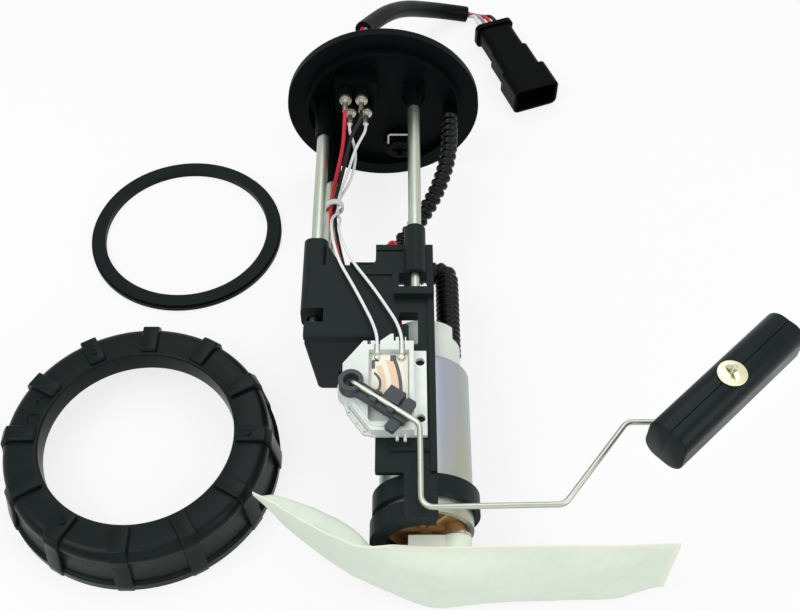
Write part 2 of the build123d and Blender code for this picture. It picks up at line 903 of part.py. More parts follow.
# Outlet cap: stepped white end with the outlet nozzle, the valve chamber and the upper bearing seat
can_span = 2 * can_radius
with BuildPart() as outlet_cap:
    with BuildSketch(station(cap_start)):
        with Locations((pump_x, pump_z)):
            Circle(cap_radius)
    extrude(amount=cap_seat - cap_start)
    with BuildSketch(station(cap_seat)):
        with Locations((pump_x, pump_z)):
            Circle(can_radius - can_shoulder - insert_gap)
    extrude(amount=cap_flange_depth - cap_seat)
    with BuildSketch(station(cap_tower_start)):
        with Locations((pump_x, pump_z)):
            Circle(cap_radius)
        tower_low = Rectangle(can_span, can_span, align=(Align.CENTER, Align.MAX), mode=Mode.PRIVATE)
        add(Pos(pump_x, cap_tower_floor_z) * tower_low, mode=Mode.SUBTRACT)
        tower_side = Rectangle(can_span, can_span, align=(Align.MIN, Align.CENTER), mode=Mode.PRIVATE)
        add(Pos(cap_tower_right_x, pump_z) * tower_side, mode=Mode.SUBTRACT)
    extrude(amount=cap_start - cap_tower_start)
    with BuildSketch(station(nozzle_start)):
        with Locations((nozzle_x, nozzle_z)):
            Circle(nozzle_radius)
    extrude(amount=cap_start - nozzle_start)
    with BuildSketch(station(nozzle_start)):
        with Locations((nozzle_x, nozzle_z)):
            Circle(nozzle_bore_radius)
    extrude(amount=check_chamber_start - nozzle_start, mode=Mode.SUBTRACT)
    with BuildSketch(station(check_chamber_start)):
        with Locations((nozzle_x, nozzle_z)):
            Circle(check_chamber_radius)
    extrude(amount=check_chamber_end - check_chamber_start, mode=Mode.SUBTRACT)
    with BuildSketch(station(check_chamber_end)):
        with Locations((nozzle_x, nozzle_z)):
            Circle(check_port_radius)
    extrude(amount=cap_flange_depth - check_chamber_end, mode=Mode.SUBTRACT)
    with BuildSketch(station(cap_flange_depth - bush_length)):
        with Locations((pump_x, pump_z)):
            Circle(bush_radius + fit_gap)
    extrude(amount=bush_length, mode=Mode.SUBTRACT)
    with BuildSketch(station(cap_start)):
        with Locations((post_x, red_post_z), (post_x, black_post_z)):
            Circle(post_radius + fit_gap)
    extrude(amount=post_radius * 3, mode=Mode.SUBTRACT)
write(outlet_cap, "outlet_cap")

with BuildPart() as pump_terminals:
    with BuildSketch(station(post_start)):
        with Locations((post_x, red_post_z), (post_x, black_post_z)):
            Circle(post_radius)
    extrude(amount=cap_start + post_radius * 3 - post_start)
write(pump_terminals, "pump_terminals")

# Non-return valve: a poppet on its port, pressed down by a light spring
check_valve_start = check_chamber_end - check_valve_length
with BuildPart() as check_valve:
    with BuildSketch(station(check_valve_start)):
        with Locations((nozzle_x, nozzle_z)):
            Circle(check_chamber_radius - running_gap)
    extrude(amount=check_valve_length - fit_gap)
    chamfer(check_valve.edges().filter_by(GeomType.CIRCLE).sort_by(Axis.Y)[0], check_chamber_radius / 4)
write(check_valve, "check_valve")

with BuildPart() as check_valve_spring:
    coil(
        nozzle_x,
        nozzle_z,
        check_chamber_start + fit_gap,
        check_valve_start - fit_gap,
        check_chamber_radius - 3 * spring_wire_radius,
        spring_wire_radius,
        3,
    )
write(check_valve_spring, "check_valve_spring")

# Rotor: shaft in two plain bushes, commutator, slotted armature and turbine impeller
impeller_start = pump_plate_start + pump_plate_depth + part_gap
shaft_end = impeller_start + impeller_depth
with BuildPart() as rotor_shaft:
    with BuildSketch(station(shaft_start)):
        with Locations((pump_x, pump_z)):
            Circle(shaft_radius)
    extrude(amount=shaft_end - shaft_start)
    chamfer(rotor_shaft.edges().filter_by(GeomType.CIRCLE), shaft_radius / 5)
write(rotor_shaft, "rotor_shaft")

bush_places = {
    "upper_bush": cap_flange_depth - bush_length,
    "lower_bush": pump_plate_start,
}
for bush_node, bush_start in bush_places.items():
    with BuildPart() as bush:
        with BuildSketch(station(bush_start)):
            with Locations((pump_x, pump_z)):
                Circle(bush_radius)
                Circle(shaft_radius + running_gap, mode=Mode.SUBTRACT)
        extrude(amount=bush_length)
    write(bush, bush_node)

with BuildPart() as commutator:
    with BuildSketch(station(commutator_start)):
        with Locations((pump_x, pump_z)):
            Circle(commutator_radius)
            Circle(shaft_radius + fit_gap, mode=Mode.SUBTRACT)
    extrude(amount=commutator_length)
write(commutator, "commutator")

with BuildPart() as armature:
    with BuildSketch(station(armature_start)):
        with Locations((pump_x, pump_z)):
            Circle(armature_radius)
            Circle(shaft_radius + fit_gap, mode=Mode.SUBTRACT)
            with PolarLocations(armature_radius - armature_slot_depth / 2, armature_slots):
                Rectangle(armature_slot_depth + 1, armature_slot_width, mode=Mode.SUBTRACT)
    extrude(amount=armature_length)
write(armature, "armature")

with BuildPart() as impeller:
    with BuildSketch(station(impeller_start)):
        with Locations((pump_x, pump_z)):
            Circle(impeller_radius)
            Circle(shaft_radius + fit_gap, mode=Mode.SUBTRACT)
            with PolarLocations(impeller_radius - impeller_vane_depth / 2, impeller_vanes):
                Rectangle(impeller_vane_depth, impeller_slot_width, mode=Mode.SUBTRACT)
    extrude(amount=impeller_depth)
write(impeller, "impeller")

# Brush holder with two carbon brushes and the springs behind them
brush_start = commutator_start + (commutator_length - brush_size) / 2
brush_inner = commutator_radius + fit_gap
brush_outer = brush_inner + brush_length
slot_height = brush_size + 2 * fit_gap
with BuildPart() as brush_holder:
    with BuildSketch(station(cap_flange_depth)):
        with Locations((pump_x, pump_z)):
            Circle(insert_radius)
            Circle(commutator_radius + 2 * part_gap, mode=Mode.SUBTRACT)
    extrude(amount=brush_holder_depth)
    with BuildSketch(station(brush_start - fit_gap)):
        with Locations((pump_x, pump_z)):
            Rectangle(2 * insert_radius - 2 * can_wall, slot_height)
    extrude(amount=cap_flange_depth + brush_holder_depth - brush_start + fit_gap, mode=Mode.SUBTRACT)
write(brush_holder, "brush_holder")

with BuildPart() as brushes:
    with BuildSketch(station(brush_start)):
        with Locations(
            (pump_x - brush_inner - brush_length / 2, pump_z),
            (pump_x + brush_inner + brush_length / 2, pump_z),
        ):
            Rectangle(brush_length, brush_size)
    extrude(amount=brush_size)
write(brushes, "brushes")

spring_depth = brush_start + brush_size / 2
spring_rise = insert_radius - can_wall - brush_outer - 2 * (fit_gap + spring_wire_radius)
with BuildPart() as brush_springs:
    for side in (-1, 1):
        spring_foot = (pump_x + side * (brush_outer + fit_gap + spring_wire_radius), -spring_depth, pump_z)
        with BuildLine() as spring_line:
            Helix(spring_rise / 3, spring_rise, brush_spring_radius, center=spring_foot, direction=(side, 0, 0))
        with BuildSketch(Plane(spring_line.line @ 0, z_dir=spring_line.line % 0)) as spring_section:
            RegularPolygon(spring_wire_radius, 6)
        sweep(spring_section.sketch, path=spring_line.line, is_frenet=True)
write(brush_springs, "brush_springs")

# Two magnets round the armature
magnet_start = armature_start - (magnet_length - armature_length) / 2
magnet_gap = 2 * insert_radius * sin(radians(magnet_gap_angle / 2))
with BuildPart() as motor_magnets:
    with BuildSketch(station(magnet_start)):
        with Locations((pump_x, pump_z)):
            Circle(insert_radius)
            Circle(insert_radius - magnet_wall, mode=Mode.SUBTRACT)
            Rectangle(magnet_gap, 3 * insert_radius, mode=Mode.SUBTRACT)
    extrude(amount=magnet_length)
write(motor_magnets, "motor_magnets")

# Turbine stage: plate with the lower bearing, and the inlet cover with its ribbed face and inlet
with BuildPart() as pump_plate:
    with BuildSketch(station(pump_plate_start)):
        with Locations((pump_x, pump_z)):
            Circle(insert_radius)
            Circle(bush_radius + fit_gap, mode=Mode.SUBTRACT)
    extrude(amount=bush_length)
    with BuildSketch(station(pump_plate_start + bush_length)):
        with Locations((pump_x, pump_z)):
            Circle(insert_radius)
            Circle(shaft_radius + part_gap, mode=Mode.SUBTRACT)
    extrude(amount=pump_plate_depth - bush_length)
write(pump_plate, "pump_plate")

cover_start = pump_plate_start + pump_plate_depth
cover_floor = shaft_end + part_gap
cover_end = can_end - can_lip_thickness
with BuildPart() as inlet_cover:
    with BuildSketch(station(cover_start)):
        with Locations((pump_x, pump_z)):
            Circle(insert_radius)
    extrude(amount=inlet_face_depth - cover_start)
    with BuildSketch(station(inlet_face_depth)):
        with Locations((pump_x, pump_z)):
            Circle(insert_radius)
            Circle(insert_radius - inlet_rim_width, mode=Mode.SUBTRACT)
            with PolarLocations(0, inlet_rib_count // 2):
                Rectangle(2 * insert_radius - inlet_rim_width, inlet_rib_thickness)
    extrude(amount=cover_end - inlet_face_depth)
    with BuildSketch(station(inlet_face_depth)):
        with Locations((inlet_x, inlet_z)):
            Circle(inlet_radius)
    extrude(amount=inlet_length)
    with BuildSketch(station(cover_start)):
        with Locations((pump_x, pump_z)):
            Circle(impeller_radius + part_gap)
    extrude(amount=cover_floor - cover_start, mode=Mode.SUBTRACT)
    with BuildSketch(station(cover_floor)):
        with Locations((inlet_x, inlet_z)):
            Circle(inlet_bore_radius)
    extrude(amount=inlet_face_depth + inlet_length - cover_floor, mode=Mode.SUBTRACT)
write(inlet_cover, "inlet_cover")

# Holder: plate with sleeves, shelf, window, slot, clamp bands, cradle, rear arm and fuel rail
sleeve_low = left_tube_z - sleeve_width / 2
sleeve_mid = (sleeve_low + plate_front) / 2
block_back = plate_front - block_depth_z
shelf_end = shelf_start + shelf_thickness
band_radius = can_radius + part_gap
with BuildPart() as pump_holder:
    with BuildSketch(Plane.XY.offset(plate_back)):
        with BuildLine():
            FilletPolyline(
                (plate_left, -gusset_top),
                (gusset_right, -plate_top),
                (block_left, -plate_top),
                (block_left, -block_top),
                (holder_right, -block_top),
                (holder_right, -holder_bottom),
                (strap_left, -holder_bottom),
                (strap_left, -plate_end),
                (lower_left, -plate_end),
                (lower_left, -wing_end),
                (box_left, -wing_end),
                (box_left, -box_wing_start),
                (plate_left, -box_wing_start),
                radius=2 * [step_corner] + 9 * [plate_corner],
            )
            Line((plate_left, -box_wing_start), (plate_left, -gusset_top))
        make_face()
    extrude(amount=plate_thickness)
    with BuildSketch(Plane.YZ.offset(box_left)):
        Polygon(
            (-wing_end, plate_front),
            (wing_edge - wing_end, plate_front),
            (0.3 * wing_edge - wing_end, plate_front - 0.3 * wing_edge),
            (-wing_end, plate_front - wing_edge),
            align=None,
        )
    extrude(amount=lower_left - box_left - plate_corner, mode=Mode.SUBTRACT)
    with BuildSketch(station(block_top)):
        with Locations((block_left, block_back)):
            Rectangle(holder_right - block_left, block_depth_z, align=Align.MIN)
    extrude(amount=window_top - block_top)
    with BuildSketch(station(left_sleeve_start)):
        with Locations((left_tube_x, sleeve_mid)):
            RectangleRounded(sleeve_width, plate_front - sleeve_low, sleeve_corner)
    extrude(amount=left_sleeve_end - left_sleeve_start)
    with BuildSketch(station(plate_top)):
        with Locations((left_tube_x, plate_back)):
            Rectangle(plate_left - left_tube_x, plate_thickness, align=Align.MIN)
    extrude(amount=left_sleeve_end - plate_top)
    with BuildSketch(station(right_sleeve_start)):
        with Locations((right_tube_x, right_tube_z)):
            Circle(right_sleeve_radius)
    extrude(amount=right_sleeve_end - right_sleeve_start)
    with BuildSketch(station(shelf_start)):
        with Locations((shelf_left, block_back)):
            Rectangle(holder_right - shelf_left, block_depth_z + shelf_lip, align=Align.MIN)
    extrude(amount=shelf_thickness)
    with BuildSketch(station(shelf_start)):
        with Locations((skirt_left, skirt_low_z)):
            Rectangle(skirt_right - skirt_left, block_back - skirt_low_z, align=Align.MIN)
    extrude(amount=shelf_thickness)
    with BuildSketch(Plane.XY.offset(plate_front)):
        with Locations((holder_right, -shelf_end)):
            Rectangle(bar_width, plate_end - shelf_end, align=Align.MAX)
    extrude(amount=bar_rise)
    with BuildSketch(Plane.YZ.offset(cross_bar_left)):
        with Locations((-sender_bottom - cross_bar_drop, plate_front)):
            Circle(cross_bar_radius)
    extrude(amount=cross_bar_right - cross_bar_left)
    with BuildSketch(station(band_start)):
        with Locations((pump_x, pump_z)):
            Circle(band_radius + band_wall)
            Circle(band_radius, mode=Mode.SUBTRACT)
        with Locations((pump_x, pump_z - can_radius)):
            Rectangle(band_mouth, can_radius, mode=Mode.SUBTRACT)
    extrude(amount=band_width)
    with BuildSketch(station(cradle_start)):
        with Locations((pump_x, pump_z)):
            Circle(band_radius + cradle_wall)
            Circle(band_radius, mode=Mode.SUBTRACT)
        with Locations((cradle_right, pump_z)):
            Rectangle(2 * can_radius, 4 * can_radius, align=(Align.MIN, Align.CENTER), mode=Mode.SUBTRACT)
    extrude(amount=can_end - cradle_start)
    with BuildSketch(station(can_end)):
        with Locations((pump_x, pump_z)):
            Circle(band_radius + cradle_wall)
            Circle(cradle_lip_inner, mode=Mode.SUBTRACT)
        with Locations((cradle_right, pump_z)):
            Rectangle(2 * can_radius, 4 * can_radius, align=(Align.MIN, Align.CENTER), mode=Mode.SUBTRACT)
    extrude(amount=cradle_lip_thickness)
    with BuildSketch(station(rear_arm_start)):
        with Locations((rear_tube_x - rear_arm_half_width, rear_tube_z - rear_arm_half_width)):
            Rectangle(
                2 * rear_arm_half_width,
                sleeve_mid - rear_tube_z + rear_arm_half_width,
                align=Align.MIN,
            )
    extrude(amount=rear_arm_end - rear_arm_start)
    with BuildSketch(Plane.YZ.offset(rail_left)):
        with Locations((-rail_depth, rail_z)):
            Circle(rail_radius)
    extrude(amount=rail_right - rail_left)
    with BuildSketch(Plane.YZ.offset(rail_right)):
        with Locations((-rail_depth, rail_z)):
            Circle(nozzle_radius)
    extrude(amount=nozzle_x - lower_hose_bend - rail_right)
    with BuildSketch(Plane.YZ.offset(rail_web_left)):
        with Locations((-block_top, rail_z)):
            Rectangle(window_top - block_top, plate_back - rail_z, align=(Align.MAX, Align.MIN))
    extrude(amount=rail_web_right - rail_web_left)
    with BuildSketch(station(rail_depth - rail_radius - riser_barb_length)):
        with Locations((riser_x, rail_z)):
            Circle(hose_barb_radius)
    extrude(amount=rail_radius + riser_barb_length)
    with BuildSketch(station(rail_depth)):
        with Locations((duct_x, rail_z)):
            Circle(duct_radius)
    extrude(amount=tower_start - rail_depth)
    with BuildSketch(Plane.XY.offset(plate_back - plate_thickness)):
        with Locations((window_left, -window_top)):
            Rectangle(window_right - window_left, shelf_start - window_top, align=(Align.MIN, Align.MAX))
    extrude(amount=2 * plate_thickness, mode=Mode.SUBTRACT)
    with BuildSketch(Plane.XY.offset(plate_back - plate_thickness)):
        with BuildLine():
            FilletPolyline(
                (slot_left, -slot_top),
                (slot_right, -slot_top),
                (slot_right, -slot_bottom),
                (slot_neck, -slot_bottom),
                (slot_neck, -slot_knee),
                (slot_left, -slot_knee),
                radius=plate_corner,
                close=True,
            )
        make_face()
    extrude(amount=2 * plate_thickness, mode=Mode.SUBTRACT)
    with BuildSketch(Plane.XY.offset(plate_front)):
        with Locations((block_left, -block_top - upper_groove_drop)):
            Rectangle(upper_groove_right - block_left, groove_width, align=(Align.MIN, Align.MAX))
        with Locations((lower_groove_left, -block_top - lower_groove_drop)):
            Rectangle(lower_groove_right - lower_groove_left, lower_groove_width, align=(Align.MIN, Align.MAX))
    extrude(amount=-groove_depth, mode=Mode.SUBTRACT)
    with BuildSketch(station(left_sleeve_start)):
        with Locations((left_tube_x, left_tube_z)):
            Circle(tube_radius + fit_gap)
    extrude(amount=left_sleeve_end - left_sleeve_start, mode=Mode.SUBTRACT)
    with BuildSketch(station(right_sleeve_start)):
        with Locations((right_tube_x, right_tube_z)):
            Circle(tube_radius + fit_gap)
    extrude(amount=right_sleeve_end - right_sleeve_start, mode=Mode.SUBTRACT)
    with BuildSketch(station(shelf_start)):
        with Locations((right_tube_x, right_tube_z)):
            Circle(tip_radius + fit_gap)
    extrude(amount=tip_seat, mode=Mode.SUBTRACT)
    with BuildSketch(station(rear_arm_start)):
        with Locations((rear_tube_x, rear_tube_z)):
            Circle(tube_radius + fit_gap)
    extrude(amount=rear_arm_end - rear_arm_start, mode=Mode.SUBTRACT)
write(pump_holder, "pump_holder")

# Regulator box: tower behind the plate, wing under the left tube, closed by a cover at the bottom
cover_start_depth = box_end - cover_thickness
box_section = (
    (box_left, plate_back),
    (box_right, plate_back),
    (box_right, box_back_z),
    (box_left + box_draft, box_back_z),
)
with BuildPart() as regulator_box:
    with BuildSketch(station(box_wing_start)):
        Polygon(*box_section, align=None)
    extrude(amount=cover_start_depth - box_wing_start)
    fillet(regulator_box.edges().filter_by(Axis.Y).sort_by(Axis.X)[:2], box_edge_fillet)
    with BuildSketch(station(tower_start)):
        with Locations((tower_left, box_back_z)):
            Rectangle(box_right - tower_left, tower_front_z - box_back_z, align=Align.MIN)
    extrude(amount=box_wing_start - tower_start)
    with BuildSketch(station(cartridge_start)):
        with Locations((cartridge_x, cartridge_z)):
            Circle(cartridge_radius + fit_gap)
    extrude(amount=cover_start_depth - cartridge_start, mode=Mode.SUBTRACT)
    with BuildSketch(station(tower_start)):
        with Locations((cartridge_x, cartridge_z)):
            Circle(regulator_port_radius)
    extrude(amount=cartridge_start - tower_start, mode=Mode.SUBTRACT)
    with BuildSketch(station(box_wing_start)):
        with Locations((left_tube_x, left_tube_z)):
            Circle(tip_radius + fit_gap)
    extrude(amount=tip_seat, mode=Mode.SUBTRACT)
    with BuildSketch(station(tower_start)):
        with Locations((rear_tube_x, rear_tube_z)):
            Circle(tip_radius + fit_gap)
    extrude(amount=tip_seat, mode=Mode.SUBTRACT)
write(regulator_box, "regulator_box")

with BuildPart() as regulator_cover:
    with BuildSketch(station(cover_start_depth)):
        Polygon(*box_section, align=None)
    extrude(amount=cover_thickness)
    fillet(regulator_cover.edges().filter_by(Axis.Y).sort_by(Axis.X)[:2], box_edge_fillet)
    chamfer(regulator_cover.faces().sort_by(Axis.Y)[0].edges(), cover_thickness / 3)
    with BuildSketch(station(cover_start_depth)):
        with Locations((cartridge_x, cartridge_z)):
            Circle(regulator_return_radius)
    extrude(amount=cover_thickness, mode=Mode.SUBTRACT)
write(regulator_cover, "regulator_cover")

# Regulator cartridge: cup with the seat, poppet, spring and spring cap
chamber_start = cartridge_start + regulator_seat_depth
spring_cap_start = cover_start_depth - regulator_cap_thickness
with BuildPart() as regulator_body:
    with BuildSketch(station(cartridge_start)):
        with Locations((cartridge_x, cartridge_z)):
            Circle(cartridge_radius)
    extrude(amount=cover_start_depth - cartridge_start)
    with BuildSketch(station(chamber_start)):
        with Locations((cartridge_x, cartridge_z)):
            Circle(regulator_chamber_radius)
    extrude(amount=cover_start_depth - chamber_start, mode=Mode.SUBTRACT)
    with BuildSketch(station(cartridge_start)):
        with Locations((cartridge_x, cartridge_z)):
            Circle(regulator_port_radius)
    extrude(amount=regulator_seat_depth, mode=Mode.SUBTRACT)
write(regulator_body, "regulator_body")

with BuildPart() as regulator_valve:
    with BuildSketch(station(chamber_start + fit_gap)):
        with Locations((cartridge_x, cartridge_z)):
            Circle(regulator_chamber_radius - running_gap)
    extrude(amount=regulator_valve_length)
write(regulator_valve, "regulator_valve")

with BuildPart() as regulator_spring:
    coil(
        cartridge_x,
        cartridge_z,
        chamber_start + 2 * fit_gap + regulator_valve_length,
        spring_cap_start - fit_gap,
        regulator_chamber_radius - 3 * regulator_spring_wire,
        regulator_spring_wire,
        4,
    )
write(regulator_spring, "regulator_spring")

with BuildPart() as regulator_cap:
    with BuildSketch(station(spring_cap_start)):
        with Locations((cartridge_x, cartridge_z)):
            Circle(regulator_chamber_radius - fit_gap)
            Circle(regulator_return_radius, mode=Mode.SUBTRACT)
    extrude(amount=regulator_cap_thickness)
write(regulator_cap, "regulator_cap")

# Hoses: the upper one from the rail to the flange, the lower one from the pump's outlet to the rail
riser_end = rail_depth - rail_radius
hose_leave = hose_barb_length + 12.0
hose_arrive = riser_end - 2.4 * riser_barb_length
hose_sway = ((0.26, 0.07, 0.12), (0.5, 0.24, 0.34), (0.71, 0.48, 0.58), (0.89, 0.77, 0.82))
upper_hose_route = [
    (outlet_x, -upper_hose_start, outlet_z),
    (outlet_x, -hose_leave, outlet_z),
    *[
        (
            outlet_x + across * (riser_x - outlet_x),
            -hose_leave - down * (hose_arrive - hose_leave),
            outlet_z + back * (rail_z - outlet_z),
        )
        for down, across, back in hose_sway
    ],
    (riser_x, -hose_arrive, rail_z),
    (riser_x, -riser_end, rail_z),
]
report_route("upper_hose", upper_hose_route, upper_hose_radius)
with BuildPart() as upper_hose:
    sweep_route(upper_hose_route, upper_hose_radius, bore=hose_barb_radius + fit_gap)
write(upper_hose, "upper_hose")

lower_hose_route = [
    (rail_right, -rail_depth, rail_z),
    (nozzle_x, -rail_depth, nozzle_z),
    (nozzle_x, -cap_start, nozzle_z),
]
with BuildPart() as lower_hose:
    sweep_route(lower_hose_route, lower_hose_radius, bore=nozzle_radius + fit_gap, bends=[lower_hose_bend])
write(lower_hose, "lower_hose")

# Strainer: push ring on the inlet, moulded neck, and the felt bag that stands on its lower edge
with BuildPart() as inlet_ring:
    with BuildSketch(station(push_ring_start)):
        with Locations((inlet_x, inlet_z)):
            Circle(push_ring_radius)
            Circle(inlet_radius + fit_gap, mode=Mode.SUBTRACT)
    extrude(amount=push_ring_thickness)
write(inlet_ring, "inlet_ring")

with BuildPart() as strainer_neck:
    with BuildSketch(station(neck_start)):
        with Locations((inlet_x, inlet_z)):
            Circle(neck_radius)
        with Locations((neck_left, inlet_z)):
            Rectangle(inlet_x - neck_left, neck_arm_height, align=(Align.MIN, Align.CENTER))
        with Locations((inlet_x, inlet_z)):
            Circle(inlet_radius + fit_gap, mode=Mode.SUBTRACT)
    extrude(amount=bag_back - neck_start)
write(strainer_neck, "strainer_neck")

bag_height = bag_top - floor_z
bag_tip = (bag_left, bag_sweep - bag_back)
bag_front = [
    bag_tip,
    (0.67 * bag_left, 0.58 * bag_sweep - bag_back),
    (0.39 * bag_left, 0.16 * bag_sweep - bag_back),
    (0.15 * bag_left, -0.32 * bag_bulge - bag_back),
    (0.21 * bag_right, -bag_bulge - bag_back),
    (0.58 * bag_right, -0.68 * bag_bulge - bag_back),
    (bag_right, -0.2 * bag_bulge - bag_back),
]
bag_behind = [
    (0.06 * bag_left, -bag_back),
    (0.29 * bag_left, 0.38 * bag_sweep - bag_back),
    (0.6 * bag_left, 0.78 * bag_sweep - bag_back),
    (0.87 * bag_left, 0.98 * bag_sweep - bag_back),
    (0.992 * bag_left, 1.024 * bag_sweep - bag_back),
]
bag_heel = (0.083 * bag_right, floor_z)
bag_lift = (1.115 * bag_left, floor_z + 0.87 * bag_height)
with BuildPart() as strainer_bag:
    with BuildSketch(Plane.XY.offset(floor_z)):
        with BuildLine():
            Spline(*bag_front)
            Line(bag_front[-1], (bag_right - 0.5, -bag_back))
            Line((bag_right - 0.5, -bag_back), bag_behind[0])
            Spline(*bag_behind)
            Line(bag_behind[-1], bag_tip)
        make_face()
    extrude(amount=bag_top - floor_z)
    with BuildSketch(Plane.XZ.offset(bag_back + 2 * bag_bulge)):
        with BuildLine():
            Spline(bag_heel, (0.46 * bag_left, floor_z + 0.34 * bag_height), bag_lift)
            Polyline(bag_lift, (1.4 * bag_left, bag_lift[1]), (1.4 * bag_left, floor_z), bag_heel)
        make_face()
    extrude(amount=-2 * (bag_sweep + bag_bulge), mode=Mode.SUBTRACT)
write(strainer_bag, "strainer_bag")

# Sender: moulded body on the plate, ceramic card and its two solder joints
strip_holes = (-sender_top - sender_strip_hole_inset, -sender_bottom + sender_strip_hole_inset)
strip_mid = (sender_right + sender_strip_right) / 2
crest_top = sender_crest_rise - sender_top
pad_top = sender_pad_rise - sender_top
with BuildPart() as sender_body:
    with BuildSketch(Plane.XY.offset(plate_front)):
        with BuildLine():
            Polyline(
                (sender_shoulder_x, -sender_top),
                (sender_crest_left, -sender_top),
                (sender_crest_right - sender_crest_width, crest_top),
                (sender_crest_right, crest_top),
                (sender_crest_right, -sender_top),
                (sender_pad_left, -sender_top),
                (sender_pad_left, pad_top),
                (sender_pad_right, pad_top),
                (sender_pad_right, -sender_top),
                (sender_right, -sender_top),
                (sender_right, -sender_bottom),
                (sender_heel_x, -sender_bottom),
                (sender_left, -sender_heel_depth),
                (sender_left, -sender_shoulder_depth),
                close=True,
            )
        make_face()
        with Locations((pivot_x, -pivot_depth)):
            Circle(pivot_boss_radius)
    extrude(amount=sender_height)
    with BuildSketch(Plane.XY.offset(plate_front)):
        with Locations((sender_right, -sender_top - sender_strip_drop)):
            Rectangle(
                sender_strip_right - sender_right,
                sender_length - sender_strip_drop,
                align=(Align.MIN, Align.MAX),
            )
        with Locations(*[(strip_mid, hole_y) for hole_y in strip_holes]):
            Circle(sender_strip_hole_radius, mode=Mode.SUBTRACT)
    extrude(amount=sender_strip_thickness)
    with BuildSketch(Plane.XY.offset(plate_front + sender_floor)):
        with Locations((pocket_left, -pocket_top)):
            Rectangle(pocket_right - pocket_left, pocket_bottom - pocket_top, align=(Align.MIN, Align.MAX))
    extrude(amount=sender_height, mode=Mode.SUBTRACT)
    with BuildSketch(Plane.XY.offset(solder_z - lead_slot_width / 2)):
        with Locations((left_solder_x, -sender_top), (right_solder_x, -sender_top)):
            Rectangle(lead_slot_width, 2 * (pocket_top - sender_top), align=Align.CENTER)
    extrude(amount=sender_height, mode=Mode.SUBTRACT)
    with BuildSketch(Plane.XY.offset(plate_front + sender_strip_thickness)):
        with Locations((sender_shoulder_x + sender_notch_inset, -sender_top)):
            Rectangle(sender_notch_width, 2 * sender_notch_depth)
    extrude(amount=sender_height, mode=Mode.SUBTRACT)
    with BuildSketch(Plane.XY.offset(plate_front + sender_strip_thickness)):
        with Locations((pivot_x, -pivot_depth)):
            Circle(pivot_radius + running_gap)
    extrude(amount=sender_height, mode=Mode.SUBTRACT)
write(sender_body, "sender_body")

with BuildPart() as sender_card:
    with BuildSketch(Plane.XY.offset(plate_front + sender_floor)):
        with Locations((card_left, -card_top)):
            Rectangle(card_right - card_left, card_bottom - card_top, align=(Align.MIN, Align.MAX))
    extrude(amount=card_thickness)
write(sender_card, "sender_card")

with BuildPart() as sender_terminals:
    with BuildSketch(station(card_top)):
        with Locations((left_solder_x, solder_z), (right_solder_x, solder_z)):
            Circle(solder_radius)
    extrude(amount=solder_length)
write(sender_terminals, "sender_terminals")

# Wiper arm: hub with its journal in the sender, arm bar, cross tab, contact carrier and wire jaws
arm_plane = Plane(
    (pivot_x, -pivot_depth, arm_under),
    x_dir=(cos(radians(arm_angle)), sin(radians(arm_angle)), 0),
    z_dir=(0, 0, 1),
)
wire_slot = 2 * (wire_radius + fit_gap)
journal_end = plate_front + sender_strip_thickness + part_gap
with BuildPart() as wiper_arm:
    with BuildSketch(Plane.XY.offset(journal_end)):
        with Locations((pivot_x, -pivot_depth)):
            Circle(pivot_radius)
    extrude(amount=arm_under - journal_end)
    with BuildSketch(arm_plane):
        Circle(hub_radius)
    extrude(amount=hub_height)
    with BuildSketch(arm_plane):
        Rectangle(arm_length, arm_width, align=(Align.MIN, Align.CENTER))
    extrude(amount=arm_thickness)
    with BuildSketch(arm_plane):
        with Locations((tab_offset, 0)):
            RectangleRounded(tab_width, tab_span, 1)
    extrude(amount=tab_thickness)
    with BuildSketch(arm_plane):
        with Locations((carrier_offset, 0)):
            Rectangle(carrier_length, carrier_reach, align=Align.MIN)
    extrude(amount=arm_thickness)
    with BuildSketch(arm_plane.offset(arm_thickness)):
        for jaw_offset in (carrier_offset - jaw_length, tab_offset - tab_width / 2 - jaw_length):
            with Locations((jaw_offset, wire_slot / 2), (jaw_offset, -wire_slot / 2 - jaw_thickness)):
                Rectangle(jaw_length, jaw_thickness, align=Align.MIN)
    extrude(amount=jaw_rise)
    with BuildSketch(arm_plane.offset(hub_height - hub_well_depth)):
        Circle(hub_well_radius)
    extrude(amount=hub_well_depth, mode=Mode.SUBTRACT)
    with BuildSketch(arm_plane.offset(arm_thickness)):
        Rectangle(2 * hub_radius, wire_slot, align=(Align.MIN, Align.CENTER))
    extrude(amount=hub_height, mode=Mode.SUBTRACT)
    with BuildSketch(arm_plane):
        Circle(wire_radius + fit_gap)
    extrude(amount=hub_height, mode=Mode.SUBTRACT)
write(wiper_arm, "wiper_arm")

contact_low = card_top_z + part_gap
with BuildPart() as wiper_contact:
    with BuildSketch(arm_plane.offset(-contact_thickness)):
        with Locations((carrier_offset, arm_width / 2)):
            Rectangle(carrier_length, carrier_reach - arm_width / 2, align=Align.MIN)
    extrude(amount=contact_thickness)
    with BuildSketch(arm_plane.offset(-contact_thickness)):
        with Locations(
            (carrier_offset + contact_width / 2, carrier_reach - contact_width / 2),
            (carrier_offset + carrier_length - contact_width / 2, carrier_reach - contact_width / 2),
        ):
            Rectangle(contact_width, contact_width)
    extrude(amount=contact_low - arm_under + contact_thickness)
write(wiper_contact, "wiper_contact")

